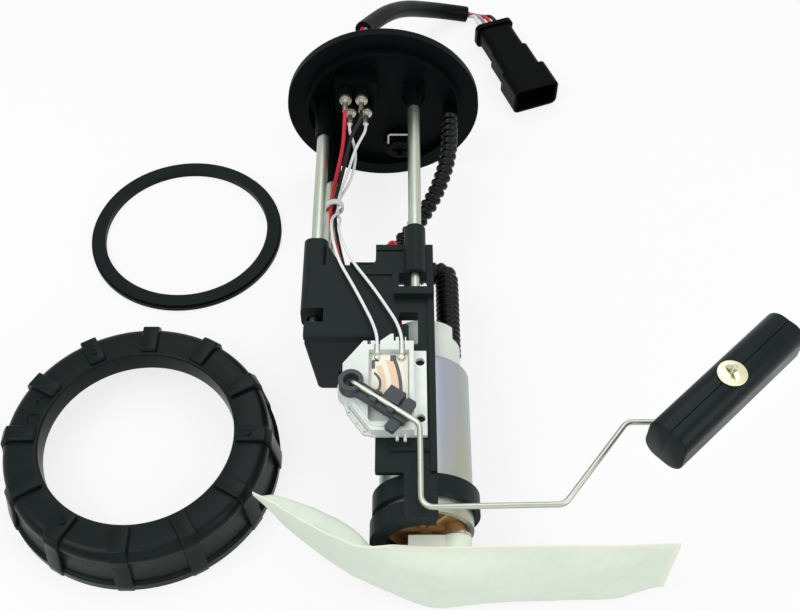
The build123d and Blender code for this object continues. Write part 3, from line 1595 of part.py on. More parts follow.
# Float wire: from the hub along the arm, down past the pump, across, up and through the float
wire_start = arm_under + part_gap
bend_x = pivot_x + arm_reach_x
bend_depth = pivot_depth + arm_reach_depth
wire_end = float_top + part_gap + push_nut_thickness + wire_tip
wire_route = [
    (pivot_x, -pivot_depth, wire_start),
    (pivot_x, -pivot_depth, wire_z),
    (bend_x, -bend_depth, wire_z),
    (wire_low_x, -wire_low_depth, wire_z),
    (wire_run_x, -wire_run_depth, wire_z),
    (wire_rise_x, -wire_rise_depth, wire_z),
    (wire_under_x, -wire_rise_depth, wire_z),
    (float_x, -float_depth, wire_z),
    (float_x, -float_depth, wire_end),
]
with BuildPart() as float_wire:
    sweep_route(
        wire_route,
        wire_radius,
        bends=[wire_hub_bend] + 5 * [wire_bend] + [wire_hub_bend],
    )
write(float_wire, "float_wire")

# Float: rounded bar with a bore for the upright wire end, and the nut that keeps it on
float_plane = Plane(
    (float_x, -float_depth, float_bottom),
    x_dir=(cos(radians(float_angle)), sin(radians(float_angle)), 0),
    z_dir=(0, 0, 1),
)
with BuildPart() as float_bar:
    with BuildSketch(float_plane):
        RectangleRounded(float_length, float_width, float_corner)
    extrude(amount=float_height)
    fillet(float_bar.faces().sort_by(Axis.Z)[-1].edges(), float_edge)
    with BuildSketch(float_plane.offset(float_height)):
        Rectangle(float_length - 2 * float_corner, float_seam_width)
    extrude(amount=-float_seam_depth, mode=Mode.SUBTRACT)
    with BuildSketch(float_plane):
        Circle(wire_hub_bend + 2 * wire_radius)
    extrude(amount=wire_hub_bend, mode=Mode.SUBTRACT)
    with BuildSketch(float_plane):
        Circle(wire_radius + running_gap)
    extrude(amount=float_height, mode=Mode.SUBTRACT)
write(float_bar, "float")

with BuildPart() as push_nut:
    with BuildSketch(Plane.XY.offset(float_top + part_gap)):
        with Locations((float_x, -float_depth)):
            Circle(push_nut_radius)
            Circle(wire_radius + fit_gap, mode=Mode.SUBTRACT)
    extrude(amount=push_nut_thickness)
write(push_nut, "push_nut")

# Harness: grommet on the flange, four leads, the sleeve over them and the leads into the connector
grommet_top = flange_thickness + harness_boss_height + grommet_stand
with BuildPart() as harness_grommet:
    with BuildSketch(station(-grommet_top)):
        with Locations((harness_x, harness_z)):
            Circle(grommet_radius)
    extrude(amount=grommet_length)
    fillet(harness_grommet.edges().sort_by(Axis.Y)[-1], grommet_stand / 2)
write(harness_grommet, "harness_grommet")

sleeve_route = [
    (-11.5, 46, 11),
    (-5.5, 61, 5.5),
    (2.5, 80, -6),
    (12, 99, -20),
    (23.5, 115, -33),
    (36, 125, -41.5),
    (49, 127.5, floor_z + harness_sleeve_radius),
]
report_route("harness_sleeve", sleeve_route, harness_sleeve_radius)
with BuildPart() as harness_sleeve:
    sweep_route(sleeve_route, harness_sleeve_radius)
write(harness_sleeve, "harness_sleeve")

connector_z = floor_z + connector_mouth_height / 2
connector_along = (cos(radians(connector_turn)), -sin(radians(connector_turn)), 0)
connector_plane = Plane(
    (connector_x, connector_y, connector_z),
    x_dir=(sin(radians(connector_turn)), cos(radians(connector_turn)), 0),
    z_dir=connector_along,
)


def lead_offsets():
    """Places of the four leads in a bundle, as steps across and up."""
    half = harness_lead_spacing / 2
    return [(-half, -half), (half, -half), (half, half), (-half, half)]


sleeve_in = Plane(sleeve_route[0], z_dir=Vector(*sleeve_route[1]) - Vector(*sleeve_route[0]), x_dir=(1, 0, 0))
sleeve_leave = Vector(*sleeve_route[-1]) - Vector(*sleeve_route[-2])
sleeve_out = Plane(sleeve_route[-1], z_dir=sleeve_leave, x_dir=(0, -1, 0))
with BuildPart() as harness_wires:
    for index, (across, up) in enumerate(lead_offsets()):
        start = Vector(harness_x + across, grommet_top - harness_plunge, harness_z + up)
        end = sleeve_in.from_local_coords(Vector(across * 0.9, up * 0.9, harness_plunge))
        middle = (start + end) * 0.5 + Vector(-1.2 * index, 2, 1)
        sweep_route([tuple(start), tuple(middle), tuple(end)], harness_lead_radius)
    for index in range(pin_count):
        spread = (index - (pin_count - 1) / 2) * (harness_lead_spacing + 1)
        across, up = lead_offsets()[index]
        start = sleeve_out.from_local_coords(Vector(-across * 0.9, up * 0.9, -harness_plunge))
        lead_out = start + sleeve_out.z_dir * 9
        end = connector_plane.from_local_coords(Vector(-spread, 0, -seal_stand + harness_plunge))
        lead_in = end - connector_plane.z_dir * 10
        sweep_route([tuple(start), tuple(lead_out), tuple(lead_in), tuple(end)], harness_lead_radius)
write(harness_wires, "harness_wires")

# Connector: stepped housing with an open mouth, rear seal and four pins
cavity_start = connector_length - connector_cavity
with BuildPart() as connector_housing:
    with BuildSketch(connector_plane):
        RectangleRounded(connector_collar_width, connector_collar_height, connector_corner)
    extrude(amount=connector_collar_length)
    with BuildSketch(connector_plane.offset(connector_collar_length)):
        RectangleRounded(connector_body_width, connector_body_height, connector_corner)
    extrude(amount=connector_step_start - connector_collar_length)
    with BuildSketch(connector_plane.offset(connector_step_start)):
        RectangleRounded(connector_step_width, connector_step_height, connector_corner)
    extrude(amount=connector_mouth_start - connector_step_start)
    with BuildSketch(connector_plane.offset(connector_mouth_start)):
        RectangleRounded(connector_mouth_width, connector_mouth_height, connector_corner)
    extrude(amount=connector_length - connector_mouth_start)
    with BuildSketch(connector_plane.offset(cavity_start)):
        RectangleRounded(
            connector_step_width - 2 * connector_wall,
            connector_step_height - 2 * connector_wall,
            connector_corner - connector_wall,
        )
    extrude(amount=connector_cavity, mode=Mode.SUBTRACT)
    with BuildSketch(connector_plane.offset(connector_mouth_start + connector_wall)):
        RectangleRounded(
            connector_mouth_width - 2 * connector_wall,
            connector_mouth_height - 2 * connector_wall,
            connector_corner - connector_wall,
        )
    extrude(amount=connector_length - connector_mouth_start, mode=Mode.SUBTRACT)
    with BuildSketch(connector_plane):
        RectangleRounded(
            connector_body_width - seal_margin,
            connector_body_height - seal_margin,
            connector_wall,
        )
    extrude(amount=seal_depth, mode=Mode.SUBTRACT)
    with BuildSketch(connector_plane.offset(cavity_start - pin_root)):
        with GridLocations(pin_pitch, 1, pin_count, 1):
            Circle(pin_radius + fit_gap)
    extrude(amount=pin_root, mode=Mode.SUBTRACT)
write(connector_housing, "connector_housing")

with BuildPart() as connector_seal:
    with BuildSketch(connector_plane.offset(-seal_stand)):
        RectangleRounded(
            connector_body_width - seal_margin - 2 * fit_gap,
            connector_body_height - seal_margin - 2 * fit_gap,
            connector_wall,
        )
    extrude(amount=seal_depth + seal_stand)
write(connector_seal, "connector_seal")

with BuildPart() as connector_pins:
    with BuildSketch(connector_plane.offset(cavity_start - pin_root)):
        with GridLocations(pin_pitch, 1, pin_count, 1):
            Circle(pin_radius)
    extrude(amount=pin_root + pin_reach)
write(connector_pins, "connector_pins")

# Tank seal: flat rubber ring, stepped at its outer edge
seal_outer = flange_radius + seal_fit
seal_inner = seal_outer - seal_width
with BuildPart() as tank_seal:
    with BuildSketch(Plane((seal_x, seal_y, floor_z), x_dir=(1, 0, 0), z_dir=(0, -1, 0))):
        Polygon(
            (seal_inner, 0),
            (seal_outer, 0),
            (seal_outer, seal_height - seal_step_height),
            (seal_outer - seal_step_width, seal_height - seal_step_height),
            (seal_outer - seal_step_width, seal_height),
            (seal_inner, seal_height),
            align=None,
        )
    revolve(axis=Axis((seal_x, seal_y, 0), (0, 0, 1)))
write(tank_seal, "tank_seal")

# Lock ring: flared skirt with a top flange round the opening, and ribs over flange and skirt
ring_shoulder_low = ring_height - ring_shoulder_height
ring_profile = [
    (ring_skirt_radius, 0),
    (ring_skirt_radius, ring_bead_height),
    (ring_skirt_radius - ring_bead_rise, ring_bead_height + ring_bead_rise / 2),
    (ring_shoulder_radius + 0.4, ring_shoulder_low - 1.2),
    (ring_shoulder_radius + 1.2, ring_shoulder_low + 0.6),
    (ring_shoulder_radius + 0.9, ring_height - 3.2),
    (ring_shoulder_radius - 0.4, ring_height - 1.2),
    (ring_shoulder_radius - 2.2, ring_height),
    (ring_opening_radius, ring_height),
    (ring_opening_radius, ring_height - ring_lip_depth),
    (ring_opening_radius + ring_lip_wall, ring_height - ring_lip_depth),
    (ring_opening_radius + ring_lip_wall, ring_height - ring_wall),
    (ring_shoulder_radius - ring_wall, ring_height - ring_wall),
    (ring_shoulder_radius - ring_wall + 0.8, ring_shoulder_low - 1.0),
    (ring_skirt_radius - ring_wall, 0),
]
rib_profile = [
    (ring_skirt_radius - 1, 0),
    (ring_skirt_radius + 0.6, 0),
    (ring_skirt_radius + 0.6, ring_bead_height),
    (ring_shoulder_radius + 2.2, ring_shoulder_low),
    (ring_shoulder_radius + 1.9, ring_height - 2),
    (ring_shoulder_radius - 0.6, ring_height + ring_rib_rise),
    (ring_opening_radius + ring_rib_inset, ring_height + ring_rib_rise),
    (ring_opening_radius + ring_rib_inset, ring_height - 1),
    (ring_shoulder_radius - 2, ring_height - 2),
]
with BuildPart() as lock_ring:
    with BuildSketch(Plane((ring_x, ring_y, floor_z), x_dir=(1, 0, 0), z_dir=(0, -1, 0))):
        Polygon(*ring_profile, align=None)
    revolve(axis=Axis((ring_x, ring_y, 0), (0, 0, 1)))
    for rib in range(ring_rib_count):
        rib_turn = radians(360 * rib / ring_rib_count)
        rib_plane = Plane(
            (ring_x, ring_y, floor_z),
            x_dir=(cos(rib_turn), sin(rib_turn), 0),
            z_dir=(sin(rib_turn), -cos(rib_turn), 0),
        )
        with BuildSketch(rib_plane):
            Polygon(*rib_profile, align=None)
        extrude(amount=ring_rib_width / 2, both=True)
    with BuildSketch(Plane((ring_x, ring_y, floor_z + ring_height))):
        for dimple_turn in (158.5, 170.5):
            with PolarLocations(ring_opening_radius + ring_dimple_inset, 1, start_angle=dimple_turn):
                Circle(ring_dimple_radius)
    extrude(amount=-ring_dimple_depth, mode=Mode.SUBTRACT)
write(lock_ring, "lock_ring")
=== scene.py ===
"""Dresses the fuel pump module: finishes for its solids, hoses, harness, strainer bag and fine fittings."""

import logging
import math
from dataclasses import dataclass
from enum import Enum
from typing import Any, Dict, List, Optional, Sequence, Tuple, Union

import bmesh
import bpy
from mathutils import Matrix, Vector, noise


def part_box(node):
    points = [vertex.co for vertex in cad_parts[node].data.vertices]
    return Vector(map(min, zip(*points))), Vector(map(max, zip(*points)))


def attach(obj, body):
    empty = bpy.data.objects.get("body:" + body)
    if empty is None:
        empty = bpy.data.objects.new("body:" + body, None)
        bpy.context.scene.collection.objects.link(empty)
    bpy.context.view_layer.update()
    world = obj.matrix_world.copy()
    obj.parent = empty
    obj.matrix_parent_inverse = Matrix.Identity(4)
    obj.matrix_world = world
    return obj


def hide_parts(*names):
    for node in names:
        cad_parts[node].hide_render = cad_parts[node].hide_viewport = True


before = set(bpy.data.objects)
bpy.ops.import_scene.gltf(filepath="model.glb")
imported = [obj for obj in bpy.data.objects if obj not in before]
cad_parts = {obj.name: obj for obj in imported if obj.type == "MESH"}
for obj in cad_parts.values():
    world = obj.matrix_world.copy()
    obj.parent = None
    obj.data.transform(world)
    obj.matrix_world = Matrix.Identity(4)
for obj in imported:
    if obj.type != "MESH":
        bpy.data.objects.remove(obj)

log = logging.getLogger("fuel_pump_module")

MM = 0.001
Colour = Tuple[float, float, float]
Point = Tuple[float, float, float]


class Body(Enum):
    """Rigid bodies of the module."""

    MODULE = "module"
    ARM = "float_arm"
    FLOAT = "float_body"
    SEAL = "seal"
    RING = "ring"


class Along(Enum):
    """Direction in which a metal was drawn or brushed."""

    Y = (1.0, 0.04, 1.0)
    NONE = (1.0, 1.0, 1.0)


class Signal:
    """A shader socket that takes part in Python arithmetic."""

    def __init__(self, graph: "Graph", socket: bpy.types.NodeSocket) -> None:
        """Keeps the socket and the graph that it belongs to."""
        self.graph = graph
        self.socket = socket

    def _maths(self, operation: str, first: Any, second: Any = 0.0) -> "Signal":
        """Adds one Math node.

        Args:
            operation: Name of the Math node's operation.
            first: Left value or signal.
            second: Right value or signal.

        Returns:
            The node's result.
        """
        return self.graph.node("ShaderNodeMath", {"operation": operation}, {0: first, 1: second})

    def __add__(self, other: Any) -> "Signal":
        """Sum."""
        return self._maths("ADD", self, other)

    def __radd__(self, other: Any) -> "Signal":
        """Sum with the signal on the right."""
        return self._maths("ADD", other, self)

    def __sub__(self, other: Any) -> "Signal":
        """Difference."""
        return self._maths("SUBTRACT", self, other)

    def __rsub__(self, other: Any) -> "Signal":
        """Difference with the signal on the right."""
        return self._maths("SUBTRACT", other, self)

    def __mul__(self, other: Any) -> "Signal":
        """Product."""
        return self._maths("MULTIPLY", self, other)

    def __gt__(self, other: Any) -> "Signal":
        """One where the signal is greater, else zero."""
        return self._maths("GREATER_THAN", self, other)

    def __lt__(self, other: Any) -> "Signal":
        """One where the signal is less, else zero."""
        return self._maths("LESS_THAN", self, other)

    def sine(self) -> "Signal":
        """Sine of the signal."""
        return self._maths("SINE", self)

    def root(self) -> "Signal":
        """Square root of the signal."""
        return self._maths("SQRT", self)

    def ramp(self, low: float, high: float) -> "Signal":
        """Rises from zero at low to one at high, clamped.

        Args:
            low: Value that gives zero.
            high: Value that gives one.

        Returns:
            The clamped ramp.
        """
        ends = {0: self, 1: low, 2: high, 3: 0.0, 4: 1.0}
        return self.graph.node("ShaderNodeMapRange", {"clamp": True}, ends)


class Graph:
    """Node tree of one material, or of the world."""

    def __init__(self, owner: Union[bpy.types.Material, bpy.types.World]) -> None:
        """Empties the owner's node tree."""
        owner.use_nodes = True
        self.owner = owner
        self.tree = owner.node_tree
        self.tree.nodes.clear()

    @property
    def place(self) -> Signal:
        """Object coordinates."""
        return self.node("ShaderNodeTexCoord", output="Object")

    def node(
        self,
        kind: str,
        settings: Optional[Dict[str, Any]] = None,
        inputs: Optional[Dict[Any, Any]] = None,
        output: Any = 0,
    ) -> Signal:
        """Adds any node.

        Args:
            kind: Type of the node.
            settings: Attributes that are set first.
            inputs: Values or signals of its sockets, by name or index.
            output: Name or index of the socket that comes back.

        Returns:
            The chosen output.
        """
        made = self.tree.nodes.new(kind)
        for key, value in (settings or {}).items():
            setattr(made, key, value)
        for key, value in (inputs or {}).items():
            if isinstance(value, Signal):
                self.tree.links.new(value.socket, made.inputs[key])
            else:
                made.inputs[key].default_value = value
        return Signal(self, made.outputs[output])

    def stretched(self, scale: Sequence[float]) -> Signal:
        """Object coordinates stretched along the axes."""
        return self.node("ShaderNodeMapping", inputs={"Vector": self.place, "Scale": tuple(scale)})

    def mottle(self, scale: float, detail: float = 2.0, place: Optional[Signal] = None) -> Signal:
        """Soft noise between zero and one.

        Args:
            scale: Noise cells per metre.
            detail: Octaves of finer noise.
            place: Coordinates, the object's own unless given.

        Returns:
            The noise value.
        """
        inputs = {"Vector": place or self.place, "Scale": scale, "Detail": detail, "Roughness": 0.55}
        return self.node("ShaderNodeTexNoise", inputs=inputs)

    def cells(self, scale: float) -> Signal:
        """Distance to the nearest of a field of scattered points."""
        return self.node("ShaderNodeTexVoronoi", inputs={"Vector": self.place, "Scale": scale})

    def parts(self) -> Tuple[Signal, Signal, Signal]:
        """Object coordinates as three separate signals."""
        split = [
            self.node("ShaderNodeSeparateXYZ", inputs={0: self.place}, output=index) for index in range(3)
        ]
        return split[0], split[1], split[2]

    def blend(self, share: Any, first: Any, second: Any) -> Signal:
        """Mixes two colours.

        Args:
            share: How much of the second colour shows.
            first: Colour or signal at zero.
            second: Colour or signal at one.

        Returns:
            The mixed colour.
        """
        ends = [(*c, 1.0) if isinstance(c, tuple) else c for c in (first, second)]
        return self.node(
            "ShaderNodeMix", {"data_type": "RGBA"}, {0: share, 6: ends[0], 7: ends[1]}, output=2
        )

    def bump(self, height: Signal, strength: float, depth: float) -> Signal:
        """Surface relief from a height signal.

        Args:
            height: Relief between zero and one.
            strength: How much of the relief shows.
            depth: Depth of the relief in metres.

        Returns:
            The bent normal.
        """
        return self.node("ShaderNodeBump", inputs={"Strength": strength, "Distance": depth, "Height": height})

    def surface(self, inputs: Dict[str, Any]) -> bpy.types.Material:
        """Ends the tree in one principled surface.

        Args:
            inputs: Values or signals of the principled shader's sockets.

        Returns:
            The finished material.
        """
        self.end(self.node("ShaderNodeBsdfPrincipled", inputs=inputs), "ShaderNodeOutputMaterial")
        return self.owner

    def end(self, shader: Signal, kind: str) -> None:
        """Links a shader to the tree's output.

        Args:
            shader: The shader to show.
            kind: Type of the output node.
        """
        output = self.tree.nodes.new(kind)
        self.tree.links.new(shader.socket, output.inputs["Surface"])


def show(name: str, data: Any) -> bpy.types.Object:
    """Puts a mesh, curve, lamp or camera into the scene under a name."""
    piece = bpy.data.objects.new(name, data)
    bpy.context.scene.collection.objects.link(piece)
    return piece


def tone(colour: Colour, factor: float) -> Colour:
    """A colour made lighter or darker by a factor."""
    return (min(colour[0] * factor, 1.0), min(colour[1] * factor, 1.0), min(colour[2] * factor, 1.0))


@dataclass(frozen=True)
class Finish:
    """A surface finish, made into a material on demand."""

    name: str

    def material(self) -> bpy.types.Material:
        """The finish as a material."""
        graph = Graph(bpy.data.materials.new(self.name))
        return graph.surface(self.sockets(graph))

    def sockets(self, graph: Graph) -> Dict[str, Any]:
        """Values and signals of the shader's sockets."""
        raise NotImplementedError


@dataclass(frozen=True)
class Moulded(Finish):
    """Moulded plastic with a fine spark-eroded grain and faint flow marks."""

    colour: Colour
    roughness: float
    variation: float = 0.16
    grain: float = 1500.0
    grain_depth: float = 0.00006
    dust: float = 0.0
    gloss: float = 0.4

    def sockets(self, graph: Graph) -> Dict[str, Any]:
        """Values and signals of the shader's sockets."""
        flow = graph.mottle(38.0, 3.0)
        speck = graph.mottle(900.0, 1.0)
        base = graph.blend(flow, tone(self.colour, 1 - self.variation), tone(self.colour, 1 + self.variation))
        if self.dust:
            film = graph.mottle(140.0, 4.0).ramp(0.48, 0.78) * self.dust
            base = graph.blend(film, base, (0.32, 0.32, 0.31))
        rough = self.roughness + (flow - 0.5) * 0.18 + (speck - 0.5) * 0.1
        relief = graph.bump(graph.mottle(self.grain, 2.0), 0.55, self.grain_depth)
        return {"Base Color": base, "Roughness": rough, "Normal": relief, "Specular IOR Level": self.gloss}


@dataclass(frozen=True)
class Milky(Finish):
    """Pale translucent plastic, a little yellow where it is thick."""

    colour: Colour
    shade: Colour
    roughness: float

    def sockets(self, graph: Graph) -> Dict[str, Any]:
        """Values and signals of the shader's sockets."""
        cloud = graph.mottle(70.0, 3.0)
        base = graph.blend(cloud.ramp(0.3, 0.75), self.colour, self.shade)
        rough = self.roughness + (graph.mottle(260.0, 2.0) - 0.5) * 0.2
        relief = graph.bump(graph.mottle(700.0, 2.0), 0.4, 0.00005)
        return {
            "Base Color": base,
            "Roughness": rough,
            "Normal": relief,
            "Subsurface Weight": 0.12,
            "Subsurface Scale": 0.002,
        }


@dataclass(frozen=True)
class Drawn(Finish):
    """Bare or plated metal with streaks along the way it was drawn."""

    colour: Colour
    tint: Colour
    roughness: float
    along: Along = Along.NONE
    streaks: float = 900.0
    streak_depth: float = 0.00003

    def sockets(self, graph: Graph) -> Dict[str, Any]:
        """Values and signals of the shader's sockets."""
        streak = graph.mottle(self.streaks, 3.0, graph.stretched(self.along.value))
        stain = graph.mottle(55.0, 3.0)
        base = graph.blend(stain.ramp(0.35, 0.75), self.colour, self.tint)
        rough = self.roughness + (streak - 0.5) * 0.22 + (stain - 0.5) * 0.08
        relief = graph.bump(streak, 0.35, self.streak_depth)
        return {"Base Color": base, "Metallic": 1.0, "Roughness": rough, "Normal": relief}


@dataclass(frozen=True)
class Plated(Finish):
    """Plated sheet steel with warm and cool bands painted lengthwise into its colour: partly the coating's
    own tint, partly painted sheen that stands in for reflection streaks.
    """

    colour: Colour
    warm: Colour
    cool: Colour
    roughness: float

    def sockets(self, graph: Graph) -> Dict[str, Any]:
        """Values and signals of the shader's sockets."""
        band = graph.mottle(75.0, 1.0, graph.stretched((1.0, 0.1, 1.0)))
        tint_and_sheen_drift = graph.mottle(48.0, 1.0, graph.stretched((1.0, 0.16, 1.3)))
        streak = graph.mottle(700.0, 3.0, graph.stretched(Along.Y.value))
        # Painted sheen: warm and cool bands along the can, partly the coating's tint and partly painted
        # reflection streaks.
        base = graph.blend(band.ramp(0.42, 0.64), self.colour, self.warm)
        base = graph.blend(tint_and_sheen_drift.ramp(0.48, 0.68), base, self.cool)
        rough = self.roughness + (streak - 0.5) * 0.16 + (band - 0.5) * 0.06
        relief = graph.bump(streak, 0.25, 0.00002)
        return {"Base Color": base, "Metallic": 1.0, "Roughness": rough, "Normal": relief}


@dataclass(frozen=True)
class Felt(Finish):
    """Pressed white fibre cloth, glazed along its welded seams."""

    colour: Colour
    shade: Colour
    weld: Colour

    def sockets(self, graph: Graph) -> Dict[str, Any]:
        """Values and signals of the shader's sockets."""
        fibre = graph.mottle(1900.0, 4.0)
        clump = graph.mottle(240.0, 3.0)
        wave = graph.mottle(28.0, 2.0)
        weld = graph.node("ShaderNodeAttribute", {"attribute_name": "weld"}, output="Fac")
        base = graph.blend(clump.ramp(0.3, 0.8) * 0.4 + wave.ramp(0.35, 0.75) * 0.6, self.colour, self.shade)
        base = graph.blend(weld * 0.8, base, self.weld)
        rough = 0.84 - weld * 0.3 + (clump - 0.5) * 0.1
        relief = graph.bump((fibre * 0.65 + clump * 0.35) * (1 - weld * 0.6), 0.6, 0.0002)
        return {
            "Base Color": base,
            "Roughness": rough,
            "Normal": relief,
            "Sheen Weight": 0.2,
            "Sheen Roughness": 0.5,
        }


@dataclass(frozen=True)
class Foam(Finish):
    """Closed-cell rubber foam with a dull skin and fine pores."""

    colour: Colour
    roughness: float
    pores: float = 1700.0
    gloss: float = 0.4

    def sockets(self, graph: Graph) -> Dict[str, Any]:
        """Values and signals of the shader's sockets."""
        pore = graph.cells(self.pores).ramp(0.0, 0.5)
        cloud = graph.mottle(60.0, 4.0)
        base = graph.blend(cloud, tone(self.colour, 0.7), tone(self.colour, 1.5))
        rough = self.roughness + (cloud - 0.5) * 0.2
        relief = graph.bump(pore * 0.6 + graph.mottle(500.0, 3.0) * 0.4, 0.4, 0.00008)
        return {"Base Color": base, "Roughness": rough, "Normal": relief, "Specular IOR Level": self.gloss}


@dataclass(frozen=True)
class Printed(Finish):
    """Ceramic card printed with two dark conductors and two resistive bands in arcs."""

    ceramic: Colour
    dark: Colour
    peach: Colour
    tan: Colour
    sweep: Point = (-39.9, -182.3, 49.0)
    hook: Point = (-6.4, -178.3, 6.85)

    @staticmethod
    def ring(graph: Graph, arc: Point, low: float, high: float) -> Signal:
        """Band about an arc's centre.

        Args:
            graph: Node tree of the card.
            arc: Centre and radius of the arc in millimetres.
            low: Inner edge of the band, measured from the arc.
            high: Outer edge of the band, measured from the arc.

        Returns:
            One inside the band, else zero.
        """
        x, y, _ = graph.parts()
        across = x - arc[0] * MM
        up = y - arc[1] * MM
        radius = (across * across + up * up).root() * (1 / MM) - arc[2]
        return (radius > low) * (radius < high)

    def sockets(self, graph: Graph) -> Dict[str, Any]:
        """Values and signals of the shader's sockets."""
        x, y, _ = graph.parts()
        x, y = x * (1 / MM), y * (1 / MM)
        chalk = graph.mottle(420.0, 3.0)
        outer = self.ring(graph, self.sweep, -0.75, 0.75)
        tab = (y > -167.0) * (x > 4.6) * (x < 7.2)
        inner = self.ring(graph, self.hook, -0.55, 0.55) * (x > -2.2) * (y < -172.4)
        patch = (x < -1.8) * (y < -166.6) * (y > -170.8)
        bar = (x < -0.2) * (y < -166.3) * (y > -167.1)
        dark = (outer + tab + inner + patch + bar) > 0.5
        peach = self.ring(graph, self.sweep, -3.9, -0.75) * (y < -166.4)
        tan = self.ring(graph, self.sweep, -8.6, -5.9) * (y < -169.2)
        base = graph.blend(chalk, self.ceramic, tone(self.ceramic, 0.94))
        base = graph.blend(peach, base, self.peach)
        base = graph.blend(tan, base, self.tan)
        base = graph.blend(dark, base, self.dark)
        rough = 0.5 - dark * 0.15 + (chalk - 0.5) * 0.2
        relief = graph.bump(dark * 0.5 + peach * 0.3 + tan * 0.3 + chalk * 0.2, 0.4, 0.00005)
        return {"Base Color": base, "Roughness": rough, "Normal": relief}


@dataclass(frozen=True)
class Sleeving(Finish):
    """Black extruded sleeving with a faint diagonal rib."""

    colour: Colour
    roughness: float
    gloss: float = 0.07

    def sockets(self, graph: Graph) -> Dict[str, Any]:
        """Values and signals of the shader's sockets."""
        x, y, z = graph.parts()
        rib = ((x + y * 0.7 + z * 0.5) * 4200.0).sine() * 0.5 + 0.5
        scuff = graph.mottle(180.0, 4.0)
        base = graph.blend(scuff.ramp(0.45, 0.8), self.colour, tone(self.colour, 2.2))
        rough = self.roughness + (scuff - 0.5) * 0.25
        relief = graph.bump(rib * 0.6 + scuff * 0.4, 0.25, 0.00008)
        return {"Base Color": base, "Roughness": rough, "Normal": relief, "Specular IOR Level": self.gloss}


class Shop:
    """All finishes of the module, each made once."""

    def __init__(self) -> None:
        """Lists the finishes by the name that the solids ask for."""
        finishes = [
            Moulded("holder_nylon", (0.0098, 0.0165, 0.0165), 0.42, gloss=0.09),
            Moulded("flange_nylon", (0.0016, 0.0032, 0.0032), 0.46, gloss=0.05),
            Moulded("ring_nylon", (0.005, 0.009, 0.0086), 0.3, dust=0.008, gloss=0.1),
            Moulded("connector_nylon", (0.0014, 0.0024, 0.0025), 0.36, gloss=0.035),
            Moulded("hose_nylon", (0.0012, 0.0018, 0.0019), 0.28, gloss=0.18),
            Moulded("grey_acetal", (0.052, 0.062, 0.066), 0.45, gloss=0.25),
            Moulded("tan_resin", (0.5, 0.29, 0.12), 0.45, variation=0.3, grain=900.0),
            Moulded("red_insulation", (0.64, 0.012, 0.03), 0.35, variation=0.08),
            Moulded("black_insulation", (0.006, 0.006, 0.006), 0.35, gloss=0.3),
            Moulded("grey_insulation", (0.3, 0.31, 0.32), 0.35, variation=0.08),
            Moulded("white_insulation", (0.86, 0.87, 0.87), 0.38, variation=0.05),
            Moulded("carbon", (0.02, 0.02, 0.02), 0.6, grain=3000.0),
            Milky("white_acetal", (0.8, 0.83, 0.8), (0.7, 0.75, 0.72), 0.42),
            Milky("cap_nylon", (0.8, 0.83, 0.78), (0.72, 0.77, 0.71), 0.38),
            Milky("neck_nylon", (0.91, 0.95, 0.84), (0.85, 0.9, 0.78), 0.45),
            Drawn("tube_steel", (0.46, 0.5, 0.42), (0.41, 0.44, 0.37), 0.34, Along.Y, 700.0, 0.00001),
            # The can's warm and cool colours are partly its plating's tint and partly painted sheen.
            Plated("can_steel", (0.33, 0.42, 0.37), (0.42, 0.4, 0.29), (0.35, 0.37, 0.44), 0.34),
            Drawn("wire_steel", (0.42, 0.45, 0.38), (0.36, 0.38, 0.32), 0.32, streak_depth=0.000002),
            Drawn("plated_steel", (0.6, 0.59, 0.54), (0.52, 0.48, 0.38), 0.3),
            Drawn("nut_steel", (0.64, 0.64, 0.45), (0.56, 0.55, 0.36), 0.36, streak_depth=0.000005),
            Drawn("bare_brass", (0.72, 0.52, 0.23), (0.55, 0.38, 0.16), 0.3),
            Drawn("copper", (0.75, 0.4, 0.24), (0.55, 0.27, 0.15), 0.3),
            Drawn("iron", (0.22, 0.22, 0.23), (0.14, 0.13, 0.13), 0.5),
            Drawn("solder", (0.7, 0.69, 0.57), (0.6, 0.57, 0.43), 0.24),
            Felt("white_felt", (0.8, 0.87, 0.76), (0.69, 0.78, 0.66), (0.86, 0.88, 0.72)),
            Foam("float_foam", (0.0052, 0.0108, 0.0114), 0.3, gloss=0.11),
            Foam("seal_rubber", (0.0034, 0.0068, 0.0066), 0.4, 2600.0, 0.09),
            Sleeving("harness_sleeving", (0.0015, 0.0024, 0.0025), 0.42),
            Printed(
                "printed_card",
                ceramic=(0.9, 0.88, 0.74),
                dark=(0.045, 0.05, 0.052),
                peach=(0.84, 0.62, 0.46),
                tan=(0.78, 0.62, 0.42),
            ),
        ]
        self.finishes = {finish.name: finish for finish in finishes}
        self.made: Dict[str, bpy.types.Material] = {}

    def material(self, name: str) -> bpy.types.Material:
        """The named finish's material, made on first use."""
        if name not in self.made:
            self.made[name] = self.finishes[name].material()
        return self.made[name]

    def dress(self, piece: bpy.types.Object, name: str) -> None:
        """Gives a piece one finish all over.

        Args:
            piece: Mesh or curve object.
            name: Name of the finish.
        """
        piece.data.materials.clear()
        piece.data.materials.append(self.material(name))


